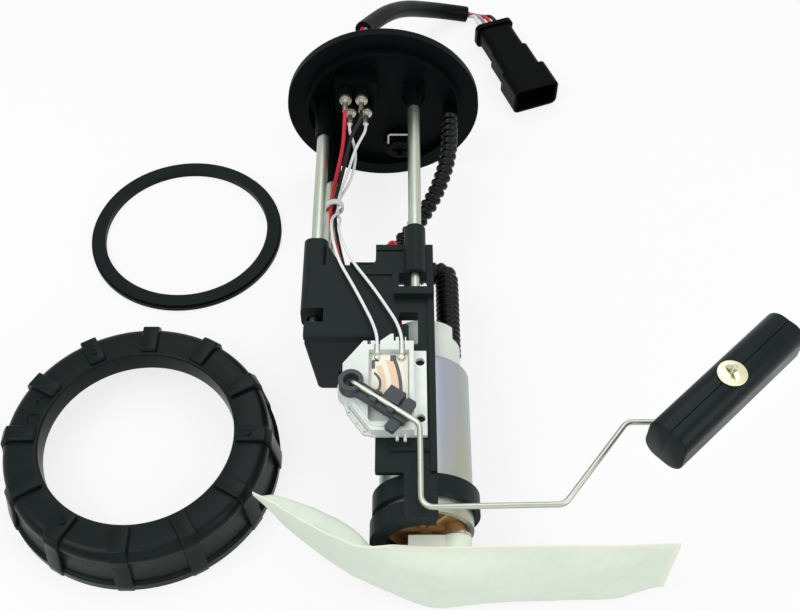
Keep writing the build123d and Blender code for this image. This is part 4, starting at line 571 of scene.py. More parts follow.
class Workpiece:
    """A mesh in the making, worked with bmesh operators."""

    def __init__(self, name: str) -> None:
        """Starts an empty mesh under the piece's name."""
        self.name = name
        self.mesh = bmesh.new()

    def disc(self, radius: float, place: Matrix, segments: int = 24) -> List[bmesh.types.BMVert]:
        """Adds a filled disc.

        Args:
            radius: Radius in metres.
            place: Where the disc lies.
            segments: Corners round the disc.

        Returns:
            The disc's corners.
        """
        return bmesh.ops.create_circle(
            self.mesh, cap_ends=True, radius=radius, segments=segments, matrix=place
        )["verts"]

    def soften(self, edges: List[bmesh.types.BMEdge], radius: float, segments: int) -> None:
        """Rounds edges.

        Args:
            edges: Edges to round.
            radius: Radius in metres.
            segments: Faces across the rounding.
        """
        bmesh.ops.bevel(
            self.mesh,
            geom=edges,
            offset=radius,
            segments=segments,
            profile=0.5,
            affect="EDGES",
            material=-1,
        )

    def bar(self, size: Point, place: Matrix, round_edges: float = 0.0) -> None:
        """Adds a bar with rounded edges.

        Args:
            size: Length, width and height in metres.
            place: Where the bar's centre lies and how it is turned.
            round_edges: Radius of its edges.
        """
        scale = Matrix.Diagonal((*size, 1.0))
        made = bmesh.ops.create_cube(self.mesh, size=1.0, matrix=place @ scale)
        if round_edges:
            edges = list({edge for vert in made["verts"] for edge in vert.link_edges})
            self.soften(edges, round_edges, 3)

    def ball(self, radius: float, place: Matrix) -> None:
        """Adds a ball.

        Args:
            radius: Radius in metres.
            place: Where it lies and how it is flattened.
        """
        bmesh.ops.create_uvsphere(self.mesh, u_segments=24, v_segments=14, radius=radius, matrix=place)

    def turned(
        self, profile: Sequence[Tuple[float, float]], place: Matrix, ring: bool = False, steps: int = 40
    ) -> None:
        """Spins a profile into a closed round form.

        Args:
            profile: Radii and heights in millimetres, from one end to the other.
            place: Where the form's axis stands; the profile's heights run along local Z.
            ring: True for a profile that closes on itself, clear of the axis.
            steps: Steps round the axis.
        """
        places = [place @ (Vector((radius, 0.0, height)) * MM) for radius, height in profile]
        verts = [self.mesh.verts.new(spot) for spot in places]
        onward = verts[1:] + verts[:1] if ring else verts[1:]
        edges = [self.mesh.edges.new(pair) for pair in zip(verts, onward)]
        axis = (place.to_3x3() @ Vector((0.0, 0.0, 1.0))).normalized()
        bmesh.ops.spin(
            self.mesh,
            geom=verts + edges,
            cent=place.translation,
            axis=axis,
            angle=2 * math.pi,
            steps=steps,
            use_merge=True,
            use_duplicate=False,
        )

    def tube(self, line: Sequence[Tuple[Vector, Vector]], radii: Sequence[float], segments: int = 20) -> None:
        """Draws a ring along a line, changing its radius from place to place.

        Args:
            line: Places along the line with their directions.
            radii: Radius at each place.
            segments: Corners round the tube.
        """
        turn = Vector((0.0, 0.0, 1.0)).rotation_difference(line[0][1]).to_matrix().to_4x4()
        start = Matrix.Translation(line[0][0]) @ turn
        verts = self.disc(radii[0], start, segments)
        edges = [edge for edge in {e for v in verts for e in v.link_edges} if len(edge.link_faces) == 1]
        steps = zip(line, line[1:], radii, radii[1:])
        for (here, heading), (there, onward), radius, wider in steps:
            made = bmesh.ops.extrude_edge_only(self.mesh, edges=edges)["geom"]
            ring = [part for part in made if isinstance(part, bmesh.types.BMVert)]
            turn = heading.rotation_difference(onward).to_matrix().to_4x4()
            grow = turn @ Matrix.Scale(wider / radius, 4)
            move = Matrix.Translation(there) @ grow @ Matrix.Translation(-here)
            bmesh.ops.transform(self.mesh, matrix=move, verts=ring)
            edges = [part for part in made if isinstance(part, bmesh.types.BMEdge) and part.is_boundary]
        bmesh.ops.holes_fill(self.mesh, edges=edges)

    @staticmethod
    def shade(mesh: bmesh.types.BMesh, smooth: float) -> None:
        """Shades a mesh smooth, except over edges that turn by more than an angle in degrees."""
        for face in mesh.faces:
            face.smooth = True
        for edge in mesh.edges:
            if len(edge.link_faces) == 2:
                edge.smooth = edge.calc_face_angle(0.0) < math.radians(smooth)

    def finished(self, body: Body, smooth: float = 40.0) -> bpy.types.Object:
        """Turns the mesh into an object that rides on a body.

        Args:
            body: Body that carries the piece.
            smooth: Largest angle in degrees that is shaded smooth.

        Returns:
            The finished object.
        """
        bmesh.ops.remove_doubles(self.mesh, verts=self.mesh.verts[:], dist=1e-6)
        bmesh.ops.recalc_face_normals(self.mesh, faces=self.mesh.faces[:])
        self.shade(self.mesh, smooth)
        data = bpy.data.meshes.new(self.name)
        self.mesh.to_mesh(data)
        self.mesh.free()
        piece = show(self.name, data)
        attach(piece, body.value)
        return piece


class Route:
    """A smooth line through the air, drawn as a spline over a few points in millimetres."""

    def __init__(self, name: str, points: Sequence[Point]) -> None:
        """Keeps the line's name and its control points."""
        self.name = name
        self.points = points

    def curve(self, radius: float = 0.0) -> bpy.types.Object:
        """Makes the spline, with a round section if a radius is given.

        Args:
            radius: Radius of the section in metres.

        Returns:
            The curve object, linked to the scene.
        """
        data = bpy.data.curves.new(self.name, "CURVE")
        data.dimensions = "3D"
        spline = data.splines.new("NURBS")
        spline.points.add(len(self.points) - 1)
        for knot, point in zip(spline.points, self.points):
            knot.co = (*(Vector(point) * MM), 1.0)
            knot.radius = radius
        spline.order_u = 3
        spline.use_endpoint_u = True
        spline.resolution_u = 16
        data.bevel_depth = 1.0 if radius else 0.0
        data.bevel_resolution = 5
        data.use_fill_caps = True
        return show(self.name, data)

    def line(self, step: float) -> List[Tuple[Vector, Vector]]:
        """Places and directions at even steps along the spline.

        Args:
            step: Distance between places in metres.

        Returns:
            Pairs of place and direction.
        """
        draft = self.curve()
        mesh = bpy.data.meshes.new_from_object(draft)
        corners = [vert.co.copy() for vert in mesh.vertices]
        bpy.data.meshes.remove(mesh)
        bpy.data.objects.remove(draft)
        places = [corners[0]]
        carry = 0.0
        for start, end in zip(corners, corners[1:]):
            run = (end - start).length
            reach = step - carry
            while reach <= run:
                places.append(start.lerp(end, reach / run))
                reach += step
            carry = run - (reach - step)
        headings = [(b - a).normalized() for a, b in zip(places, places[1:])]
        headings.append(headings[-1])
        return list(zip(places, headings))


@dataclass
class Studio:
    """Camera, lamps and the pale surface that the module lies on."""

    camera_place: Point = (0.0087, -0.4467, 0.430)
    aim: Point = (0.00869, -0.09014, -0.049)
    lens: float = 53.34
    floor_height: float = -0.04915
    floor_size: float = 8.0
    floor_glow: float = 0.8

    LAMPS = (
        ("key_lamp", (-0.55, -0.35, 0.95), (0.0, -0.12, 0.0), 0.6, 4.2),
        ("fill_lamp", (0.75, -0.5, 0.55), (0.02, -0.14, 0.0), 0.6, 2.4),
        ("top_lamp", (0.05, 0.35, 1.0), (0.0, -0.1, 0.0), 0.7, 3.0),
        ("front_lamp", (0.05, -1.1, 0.35), (0.02, -0.2, -0.02), 0.8, 1.3),
    )

    def build(self) -> None:
        """Sets up the whole studio."""
        self.set_camera()
        self.set_world()
        self.set_floor()
        for name, place, aim, size, power in self.LAMPS:
            self.lamp(name, place, aim, size, power)
        bpy.context.scene.view_settings.view_transform = "Standard"

    def set_camera(self) -> None:
        """Places the camera at the photograph's angle."""
        camera = show("camera", bpy.data.cameras.new("camera"))
        camera.data.lens = self.lens
        camera.data.sensor_width = 36.0
        camera.data.clip_start = 0.01
        camera.location = self.camera_place
        heading = Vector(self.aim) - Vector(self.camera_place)
        camera.rotation_euler = heading.to_track_quat("-Z", "Y").to_euler()
        bpy.context.scene.camera = camera

    def lamp(self, name: str, place: Point, aim: Point, size: float, power: float) -> None:
        """Adds one soft lamp.

        Args:
            name: Name of the lamp.
            place: Where it hangs, in metres.
            aim: Point that it faces.
            size: Side of its square panel in metres.
            power: Power in watts.
        """
        data = bpy.data.lights.new(name, "AREA")
        data.size = size
        data.energy = power
        lamp = show(name, data)
        lamp.location = place
        lamp.rotation_euler = (Vector(aim) - Vector(place)).to_track_quat("-Z", "Y").to_euler()

    @staticmethod
    def seen(graph: Graph) -> Signal:
        """One for rays that show the backdrop itself, in the camera, a gloss or a lens."""
        kinds = ("Is Camera Ray", "Is Glossy Ray", "Is Transmission Ray")
        camera, gloss, lens = [graph.node("ShaderNodeLightPath", output=kind) for kind in kinds]
        return (camera + gloss + lens) > 0.5

    def set_world(self) -> None:
        """Even light all round, and white wherever the backdrop itself shows."""
        graph = Graph(bpy.data.worlds.new("studio_world"))
        light = graph.node("ShaderNodeBackground", inputs={"Color": (0.96, 1.0, 0.97, 1.0), "Strength": 0.45})
        white = graph.node("ShaderNodeBackground", inputs={"Color": (1.0, 1.0, 1.0, 1.0), "Strength": 1.0})
        shown = graph.node("ShaderNodeMixShader", inputs={0: self.seen(graph), 1: light, 2: white})
        graph.end(shown, "ShaderNodeOutputWorld")
        bpy.context.scene.world = graph.owner

    def set_floor(self) -> None:
        """Lays the white surface and keeps soft shadows on it."""
        mesh = bmesh.new()
        bmesh.ops.create_grid(
            mesh,
            x_segments=1,
            y_segments=1,
            size=self.floor_size / 2,
            matrix=Matrix.Translation((0.0, 0.0, self.floor_height)),
        )
        data = bpy.data.meshes.new("floor")
        mesh.to_mesh(data)
        mesh.free()
        floor = show("floor", data)
        graph = Graph(bpy.data.materials.new("white_surface"))
        paper = graph.node("ShaderNodeBsdfDiffuse", inputs={"Color": (0.9, 0.9, 0.9, 1.0)})
        glow = graph.node("ShaderNodeEmission", inputs={"Color": (1.0, 1.0, 1.0, 1.0), "Strength": 1.0})
        share = self.seen(graph) * self.floor_glow
        shown = graph.node("ShaderNodeMixShader", inputs={0: share, 1: paper, 2: glow})
        graph.end(shown, "ShaderNodeOutputMaterial")
        data.materials.append(graph.owner)


@dataclass
class Solids:
    """Finishes of the solids that stay as they are."""

    shop: Shop

    def dress(self) -> None:
        """Gives every solid its finish."""
        wanted = {
            "holder_nylon": ["pump_holder", "regulator_box", "regulator_cover", "brush_holder"],
            "flange_nylon": ["flange", "rollover_valve"],
            "ring_nylon": ["lock_ring"],
            "connector_nylon": ["connector_housing", "harness_grommet"],
            "hose_nylon": ["upper_hose", "lower_hose"],
            "grey_acetal": ["wiper_arm", "check_valve"],
            "tan_resin": ["inlet_cover", "impeller", "pump_plate"],
            "red_insulation": ["red_wire"],
            "black_insulation": ["black_wire", "harness_wires"],
            "white_insulation": ["white_wire_left", "white_wire_right"],
            "carbon": ["brushes"],
            "white_acetal": ["sender_body", "cable_tie"],
            "cap_nylon": ["outlet_cap"],
            "neck_nylon": ["strainer_neck"],
            "tube_steel": ["guide_tube_left", "guide_tube_right", "guide_tube_rear"],
            "can_steel": ["pump_can"],
            "wire_steel": ["float_wire", "valve_clip", "rotor_shaft"],
            "plated_steel": [
                "terminal_studs",
                "ring_terminals",
                "inlet_ring",
                "regulator_body",
                "regulator_cap",
                "check_valve_spring",
                "regulator_spring",
                "brush_springs",
            ],
            "nut_steel": ["push_nut"],
            "bare_brass": [
                "upper_bush",
                "lower_bush",
                "pump_terminals",
                "regulator_valve",
                "connector_pins",
                "wiper_contact",
            ],
            "copper": ["commutator"],
            "iron": ["armature", "motor_magnets"],
            "solder": ["sender_terminals"],
            "white_felt": ["strainer_bag"],
            "float_foam": ["float"],
            "seal_rubber": ["tank_seal", "connector_seal"],
            "harness_sleeving": ["harness_sleeve"],
            "printed_card": ["sender_card"],
        }
        for finish, nodes in wanted.items():
            for node in nodes:
                self.shop.dress(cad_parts[node], finish)
        missing = sorted(set(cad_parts) - {node for nodes in wanted.values() for node in nodes})
        if missing:
            raise ValueError(f"solids without a finish: {missing}")
        log.info("dressed %d solids", len(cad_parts))


@dataclass
class Hose:
    """A corrugated hose, held at both ends."""

    shop: Shop
    node: str
    points: Sequence[Point]
    radius: float
    pitch: float
    groove: float

    RIDGE = (0.0, 0.0, 0.35, 0.85, 1.0, 1.0, 0.85, 0.35)

    def build(self) -> None:
        """Builds the hose in place of its smooth solid."""
        steps = len(self.RIDGE)
        line = Route(self.node + "_line", self.points).line(self.pitch * MM / steps)
        depths = [self.groove * (1 - self.RIDGE[index % steps]) for index in range(len(line))]
        work = Workpiece(self.node + "_corrugated")
        work.tube(line, [(self.radius - depth) * MM for depth in depths], 24)
        piece = work.finished(Body.MODULE, 75.0)
        self.shop.dress(piece, "hose_nylon")
        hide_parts(self.node)
        log.info("hose %s", piece.name)


@dataclass
class SolderJoints:
    """Two bright beads of solder that hold the white leads on the card."""

    shop: Shop
    right: Point = (9.2, -165.4, 1.65)
    left: Point = (-1.1, -165.4, 1.2)
    flat: float = 0.82

    def build(self) -> None:
        """Builds the beads in place of their plain solids."""
        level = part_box("sender_card")[1][2]
        work = Workpiece("solder_beads")
        for x, y, radius in (self.right, self.left):
            place = Matrix.Translation((x * MM, y * MM, level + 0.5 * radius * MM))
            work.ball(radius * MM, place @ Matrix.Diagonal((1.0, 1.0, self.flat, 1.0)))
        piece = work.finished(Body.MODULE)
        self.shop.dress(piece, "solder")
        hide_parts("sender_terminals")
        log.info("solder %s", piece.name)


@dataclass
class SenderTrim:
    """Small moulded details of the sender: a hook along its lower corner, a rim beside it and two legs."""

    shop: Shop
    hook_width: float = 1.5
    hook_height: float = 1.8
    rim_width: float = 1.0
    rim_height: float = 0.8
    leg_width: float = 1.3

    HOOK = ((-14.4, -185.6), (-12.4, -191.0), (-9.0, -196.2), (-5.9, -200.4), (-1.5, -201.4))
    RIM = ((-10.4, -188.8), (-3.4, -199.0), (2.0, -200.2))
    LEGS = ((7.6, -203.4), (10.8, -203.8))

    def build(self) -> None:
        """Builds the details onto the sender's body."""
        low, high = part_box("sender_body")
        foot, face = low[2] / MM, high[2] / MM
        work = Workpiece("sender_trim")
        for start, end in zip(self.HOOK, self.HOOK[1:]):
            self.strip(work, start, end, self.hook_width, (foot, foot + self.hook_height))
        for start, end in zip(self.RIM, self.RIM[1:]):
            self.strip(work, start, end, self.rim_width, (face - self.rim_height, face + self.rim_height))
        for x, tip in self.LEGS:
            self.strip(work, (x, tip + 3.0), (x, tip), self.leg_width, (foot, foot + self.hook_height))
        piece = work.finished(Body.MODULE)
        self.shop.dress(piece, "white_acetal")
        log.info("sender %s", piece.name)

    @staticmethod
    def strip(
        work: Workpiece,
        start: Tuple[float, float],
        end: Tuple[float, float],
        width: float,
        levels: Tuple[float, float],
    ) -> None:
        """Adds a straight strip with rounded edges.

        Args:
            work: Mesh that takes the strip.
            start: Plan place of one end in millimetres.
            end: Plan place of the other end.
            width: Width of the strip.
            levels: Heights of its underside and its top.
        """
        run = Vector(end) - Vector(start)
        middle = (Vector(end) + Vector(start)) / 2
        size = Vector((run.length + 0.6 * width, width, levels[1] - levels[0])) * MM
        place = Matrix.Translation(Vector((middle.x, middle.y, sum(levels) / 2)) * MM)
        work.bar(tuple(size), place @ Matrix.Rotation(math.atan2(run.y, run.x), 4, "Z"), 0.3 * MM)


@dataclass
class FloatBar:
    """The float: a bar of foam with rounded long edges, plain ends and a parting line."""

    shop: Shop
    length: float = 76.0
    width: float = 18.0
    turn: float = 43.4
    round_edge: float = 6.4
    end_edge: float = 0.8
    line_width: float = 0.5
    line_depth: float = 0.35

    def build(self) -> None:
        """Builds the bar in place of its solid."""
        low, high = (Vector(corner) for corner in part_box("float"))
        size = Vector((self.length * MM, self.width * MM, high.z - low.z))
        work = Workpiece("float_bar")
        bmesh.ops.create_cube(work.mesh, size=1.0, matrix=Matrix.Diagonal((*size, 1.0)))
        sides = [edge for edge in work.mesh.edges if edge.verts[0].co.x * edge.verts[1].co.x < 0]
        work.soften(sides, self.round_edge * MM, 8)
        work.soften([edge for edge in work.mesh.edges if self.at_end(edge)], self.end_edge * MM, 3)
        self.part(work, size)
        place = Matrix.Translation((low + high) / 2) @ Matrix.Rotation(math.radians(self.turn), 4, "Z")
        bmesh.ops.transform(work.mesh, matrix=place, verts=work.mesh.verts[:])
        piece = work.finished(Body.FLOAT, 35.0)
        self.shop.dress(piece, "float_foam")
        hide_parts("float")
        log.info("float %s", piece.name)

    def at_end(self, edge: bmesh.types.BMEdge) -> bool:
        """True for an edge that lies round one of the bar's ends."""
        return all(abs(vert.co.x) > 0.49 * self.length * MM for vert in edge.verts)

    def part(self, work: Workpiece, size: Vector) -> None:
        """Sinks the parting line into the top.

        Args:
            work: Mesh of the bar, along local X.
            size: Length, width and height of the bar.
        """
        for shift in (-0.5, 0.0, 0.5):
            bmesh.ops.bisect_plane(
                work.mesh,
                geom=work.mesh.verts[:] + work.mesh.edges[:] + work.mesh.faces[:],
                plane_co=(0.0, shift * self.line_width * MM, 0.0),
                plane_no=(0.0, 1.0, 0.0),
            )
        sunk = [vert for vert in work.mesh.verts if abs(vert.co.y) < 1e-6 and vert.co.z > 0.45 * size.z]
        bmesh.ops.translate(work.mesh, vec=(0.0, 0.0, -self.line_depth * MM), verts=sunk)


@dataclass
class PushNut:
    """Spring nut on the wire's end: a dished disc with two tongues, and the wire's tip between them."""

    shop: Shop
    radius: float = 6.0
    hole: float = 1.3
    sheet: float = 0.5
    dish: float = 0.35
    wire: float = 1.15
    tip: float = 4.8
    turn: float = 118.0
    bend: float = 3.2
    tongue_lean: float = 38.0
    tongue_place: Point = (2.4, 0.0, 1.5)
    tongue_size: Point = (0.0034, 0.0022, 0.0004)
    tongue_edge: float = 0.00012

    def build(self) -> None:
        """Builds the nut in place of its solid, and the wire's tip."""
        low, high = (Vector(corner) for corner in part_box("push_nut"))
        foot = Matrix.Translation(((low.x + high.x) / 2, (low.y + high.y) / 2, low.z))
        nut = Workpiece("push_nut_sheet")
        rim = self.radius - 0.2
        step = 0.6 * self.dish
        upper = [(self.hole, self.dish + self.sheet), (self.bend, step + self.sheet), (rim, self.sheet)]
        lower = [(self.radius, 0.6 * self.sheet), (rim, 0.0), (self.bend, step), (self.hole, self.dish)]
        nut.turned(upper + lower, foot, ring=True)
        for side in (0.0, 180.0):
            swing = Matrix.Rotation(math.radians(self.turn + side), 4, "Z")
            lean = Matrix.Rotation(math.radians(self.tongue_lean), 4, "Y")
            tongue = Matrix.Translation(Vector(self.tongue_place) * MM)
            nut.bar(self.tongue_size, foot @ swing @ tongue @ lean, self.tongue_edge)
        piece = nut.finished(Body.ARM)
        self.shop.dress(piece, "nut_steel")
        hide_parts("push_nut")
        end = Workpiece("float_wire_tip")
        crown = high.z - low.z
        side = [(0.0, 0.0), (self.wire, 0.0), (self.wire, self.tip - 0.4)]
        profile = side + [(self.wire - 0.4, self.tip), (0.0, self.tip)]
        end.turned(profile, foot @ Matrix.Translation((0.0, 0.0, crown - 0.0005)), steps=24)
        tip = end.finished(Body.ARM)
        self.shop.dress(tip, "wire_steel")
        log.info("nut %s and %s", piece.name, tip.name)


@dataclass
class LockRing:
    """The lock ring: a turned skirt with a rounded shoulder, ribs over it and small moulded marks."""

    shop: Shop
    centre: Point = (-108.0, -180.0, -49.0)
    height: float = 24.5
    skirt: float = 62.0
    shoulder: float = 58.9
    opening: float = 43.0
    shoulder_round: float = 4.6
    lip_round: float = 1.3
    ribs: int = 12
    rib_width: float = 7.5
    rib_rise: float = 2.2
    rib_round: float = 0.6
    sharp: float = 32.0
    dimple_radius: float = 3.0
    dimple_depth: float = 0.9
    dimple_turns: Tuple[float, ...] = (158.5, 170.5)
    dimple_place: float = 47.5
    pip_turns: Tuple[float, ...] = (0.0, 120.0, 240.0)
    pip_place: float = 49.5

    PIP = ((0.0, 0.5), (0.9, 0.5), (1.0, 0.9), (1.5, 0.9), (1.7, 0.6), (1.7, -0.2))

    def build(self) -> None:
        """Builds the ring in place of its solid."""
        work = Workpiece("lock_ring_moulding")
        self.turn_skirt(work)
        for index in range(self.ribs):
            self.add_rib(work, self.facing(360.0 * index / self.ribs))
        for turn in self.pip_turns:
            rise = Vector((self.pip_place, 0.0, self.height + self.rib_rise))
            work.turned(self.PIP, self.facing(turn) @ Matrix.Translation(rise * MM), steps=20)
        piece = work.finished(Body.RING, self.sharp)
        self.sink_dimples(piece)
        self.shop.dress(piece, "ring_nylon")
        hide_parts("lock_ring")
        log.info("ring %s", piece.name)

    def facing(self, turn: float) -> Matrix:
        """Frame at the ring's foot, turned about its axis by degrees."""
        return Matrix.Translation(Vector(self.centre) * MM) @ Matrix.Rotation(math.radians(turn), 4, "Z")

    def turn_skirt(self, work: Workpiece) -> None:
        """Spins the plain ring and rounds its shoulder and its lip.

        Args:
            work: Mesh that takes the ring.
        """
        top = self.height
        skirt, shoulder, opening = self.skirt, self.shoulder, self.opening
        outside = [(skirt, 0), (skirt, 4), (skirt - 1.6, 4.8), (shoulder - 0.4, top - 7)]
        over = [(shoulder, top - 5.6), (shoulder, top), (opening, top), (opening, top - 11)]
        inside = [(opening + 2, top - 11), (opening + 2, top - 3.2), (shoulder - 4, top - 3.2)]
        foot = [(shoulder - 3.4, top - 7), (skirt - 3.2, 0)]
        work.turned(outside + over + inside + foot, self.facing(0.0), ring=True, steps=120)
        bmesh.ops.remove_doubles(work.mesh, verts=work.mesh.verts[:], dist=1e-6)
        for radius, rounding, segments in ((shoulder, self.shoulder_round, 7), (opening, self.lip_round, 4)):
            loop = [edge for edge in work.mesh.edges if self.on_top(edge, radius)]
            work.soften(loop, rounding * MM, segments)

    def on_top(self, edge: bmesh.types.BMEdge, radius: float) -> bool:
        """True for an edge of the top face's circle of a radius in millimetres."""
        back = self.facing(0.0).inverted()
        spots = [back @ vert.co / MM for vert in edge.verts]
        near = [max(abs(math.hypot(s.x, s.y) - radius), abs(s.z - self.height)) for s in spots]
        return max(near) < 0.02

    def add_rib(self, work: Workpiece, place: Matrix) -> None:
        """Adds one rib that runs down the skirt and over the top.

        Args:
            work: Mesh that takes the rib.
            place: Frame whose X axis points along the rib.
        """
        top = self.height
        skirt, shoulder, inner = self.skirt, self.shoulder, self.opening + 1.5
        outside = [(skirt - 1, 0), (skirt + 0.6, 0), (skirt + 0.6, 4), (shoulder + 1.3, top - 6)]
        over = [(shoulder + 1.0, top - 2), (shoulder - 1.5, top + self.rib_rise)]
        inside = [(inner, top + self.rib_rise), (inner, top - 1), (shoulder - 3, top - 2)]
        half = self.rib_width / 2
        corners = [place @ (Vector((r, -half, z)) * MM) for r, z in outside + over + inside]
        known = set(work.mesh.edges)
        face = work.mesh.faces.new([work.mesh.verts.new(corner) for corner in corners])
        made = bmesh.ops.extrude_face_region(work.mesh, geom=[face])["geom"]
        moved = [part for part in made if isinstance(part, bmesh.types.BMVert)]
        across = place.to_3x3() @ Vector((0.0, self.rib_width * MM, 0.0))
        bmesh.ops.translate(work.mesh, vec=across, verts=moved)
        fresh = [edge for edge in work.mesh.edges if edge not in known]
        bmesh.ops.holes_fill(work.mesh, edges=[edge for edge in fresh if edge.is_boundary])
        faces = {face for edge in fresh for face in edge.link_faces}
        bmesh.ops.recalc_face_normals(work.mesh, faces=list(faces))
        work.soften(fresh, self.rib_round * MM, 3)

    def sink_dimples(self, piece: bpy.types.Object) -> None:
        """Sinks two round dimples into the top.

        Args:
            piece: The ring.
        """
        tool = Workpiece("dimple_tool")
        deep, wide = self.dimple_depth, self.dimple_radius
        profile = [(0.0, -deep), (wide - 0.4, -deep), (wide, -deep + 0.4), (wide, 3.0), (0.0, 3.0)]
        for turn in self.dimple_turns:
            spot = Vector((self.dimple_place, 0.0, self.height)) * MM
            tool.turned(profile, self.facing(turn) @ Matrix.Translation(spot), steps=28)
        cutter = tool.finished(Body.RING)
        cut = piece.modifiers.new("dimples", "BOOLEAN")
        cut.operation = "DIFFERENCE"
        cut.solver = "EXACT"
        cut.object = cutter
        result = bpy.data.meshes.new_from_object(piece.evaluated_get(bpy.context.evaluated_depsgraph_get()))
        piece.modifiers.remove(cut)
        bpy.data.objects.remove(cutter)
        mesh = bmesh.new()
        mesh.from_mesh(result)
        Workpiece.shade(mesh, self.sharp)
        mesh.to_mesh(result)
        mesh.free()
        piece.data = result


@dataclass
class Harness:
    """Four leads from the flange's top side, their sleeve and their ends at the connector."""

    shop: Shop
    exit: Point = (-14.0, 16.0, 14.0)
    sleeve_radius: float = 4.7
    lead_radius: float = 1.1
    lead_pitch: float = 3.6
    entry_depth: float = 12.0

    # The sleeve's route is the part's own, moved a little to follow the photograph.
    SLEEVE = (
        ((-10.9, 49.5, 9.6), (-6.4, 61.2, 4.6), (2.3, 81.6, -4.8), (12.2, 101.3, -18.2))
        + ((23.9, 116.6, -31.6), (36.2, 126, -40.8), (49, 127.5, -44.3))
    )
    BUNDLE = ((1.2, -1.2), (-1.2, 1.2), (1.2, 1.2), (-1.2, -1.2))
    SWAY = (-1.6, 1.8, 0.6, -2.4)
    BEND = (57.5, 124.5, -43.6)
    SOCKET = (64.0, 108.0, -40.5)
    SOCKET_ROW = (0.933, 0.36, 0.0)
    SOCKET_AXIS = (0.36, -0.933, 0.0)

    def lead_points(self, index: int) -> List[Point]:
        """One lead's route from the grommet through the sleeve to the connector.

        Args:
            index: Number of the lead, from zero to three.

        Returns:
            Control points in millimetres.
        """
        across, up = self.BUNDLE[index]
        sway = self.SWAY[index]
        start = (self.exit[0] + across, self.exit[1], self.exit[2] + up)
        loose = [
            (start[0], start[1] + 7, start[2]),
            (start[0] + 0.6 + sway, start[1] + 17, start[2] - 0.6 + 0.4 * sway),
        ]
        inside = [(x + across * 0.8, y, z + up * 0.8) for x, y, z in self.SLEEVE]
        spread = (1.5 - index) * self.lead_pitch
        bend = (self.BEND[0] + spread * 0.5, *self.BEND[1:])
        end = Vector(self.SOCKET) + Vector(self.SOCKET_ROW) * spread
        into = end - Vector(self.SOCKET_AXIS) * self.entry_depth
        return [start, *loose, *inside, bend, tuple(into), tuple(end)]

    def laid(self, name: str, points: Sequence[Point], radius: float, finish: str) -> bpy.types.Object:
        """Lays one round strand along a route.

        Args:
            name: Name of the piece.
            points: Control points in millimetres.
            radius: Radius of the strand in millimetres.
            finish: Name of its finish.

        Returns:
            The strand, riding on the module.
        """
        strand = Route(name, points).curve(radius * MM)
        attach(strand, Body.MODULE.value)
        self.shop.dress(strand, finish)
        return strand

    def build(self) -> None:
        """Builds the leads and the sleeve in place of their solids."""
        sleeve = self.laid("harness_sleeve_tube", self.SLEEVE, self.sleeve_radius, "harness_sleeving")
        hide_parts("harness_sleeve")
        colours = ["black_insulation", "red_insulation", "grey_insulation", "white_insulation"]
        for index, colour in enumerate(colours):
            points = self.lead_points(index)
            lead = self.laid(f"harness_lead_{index + 1}", points, self.lead_radius, colour)
            if index == 0:
                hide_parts("harness_wires")
        log.info("harness with %d leads", len(colours))


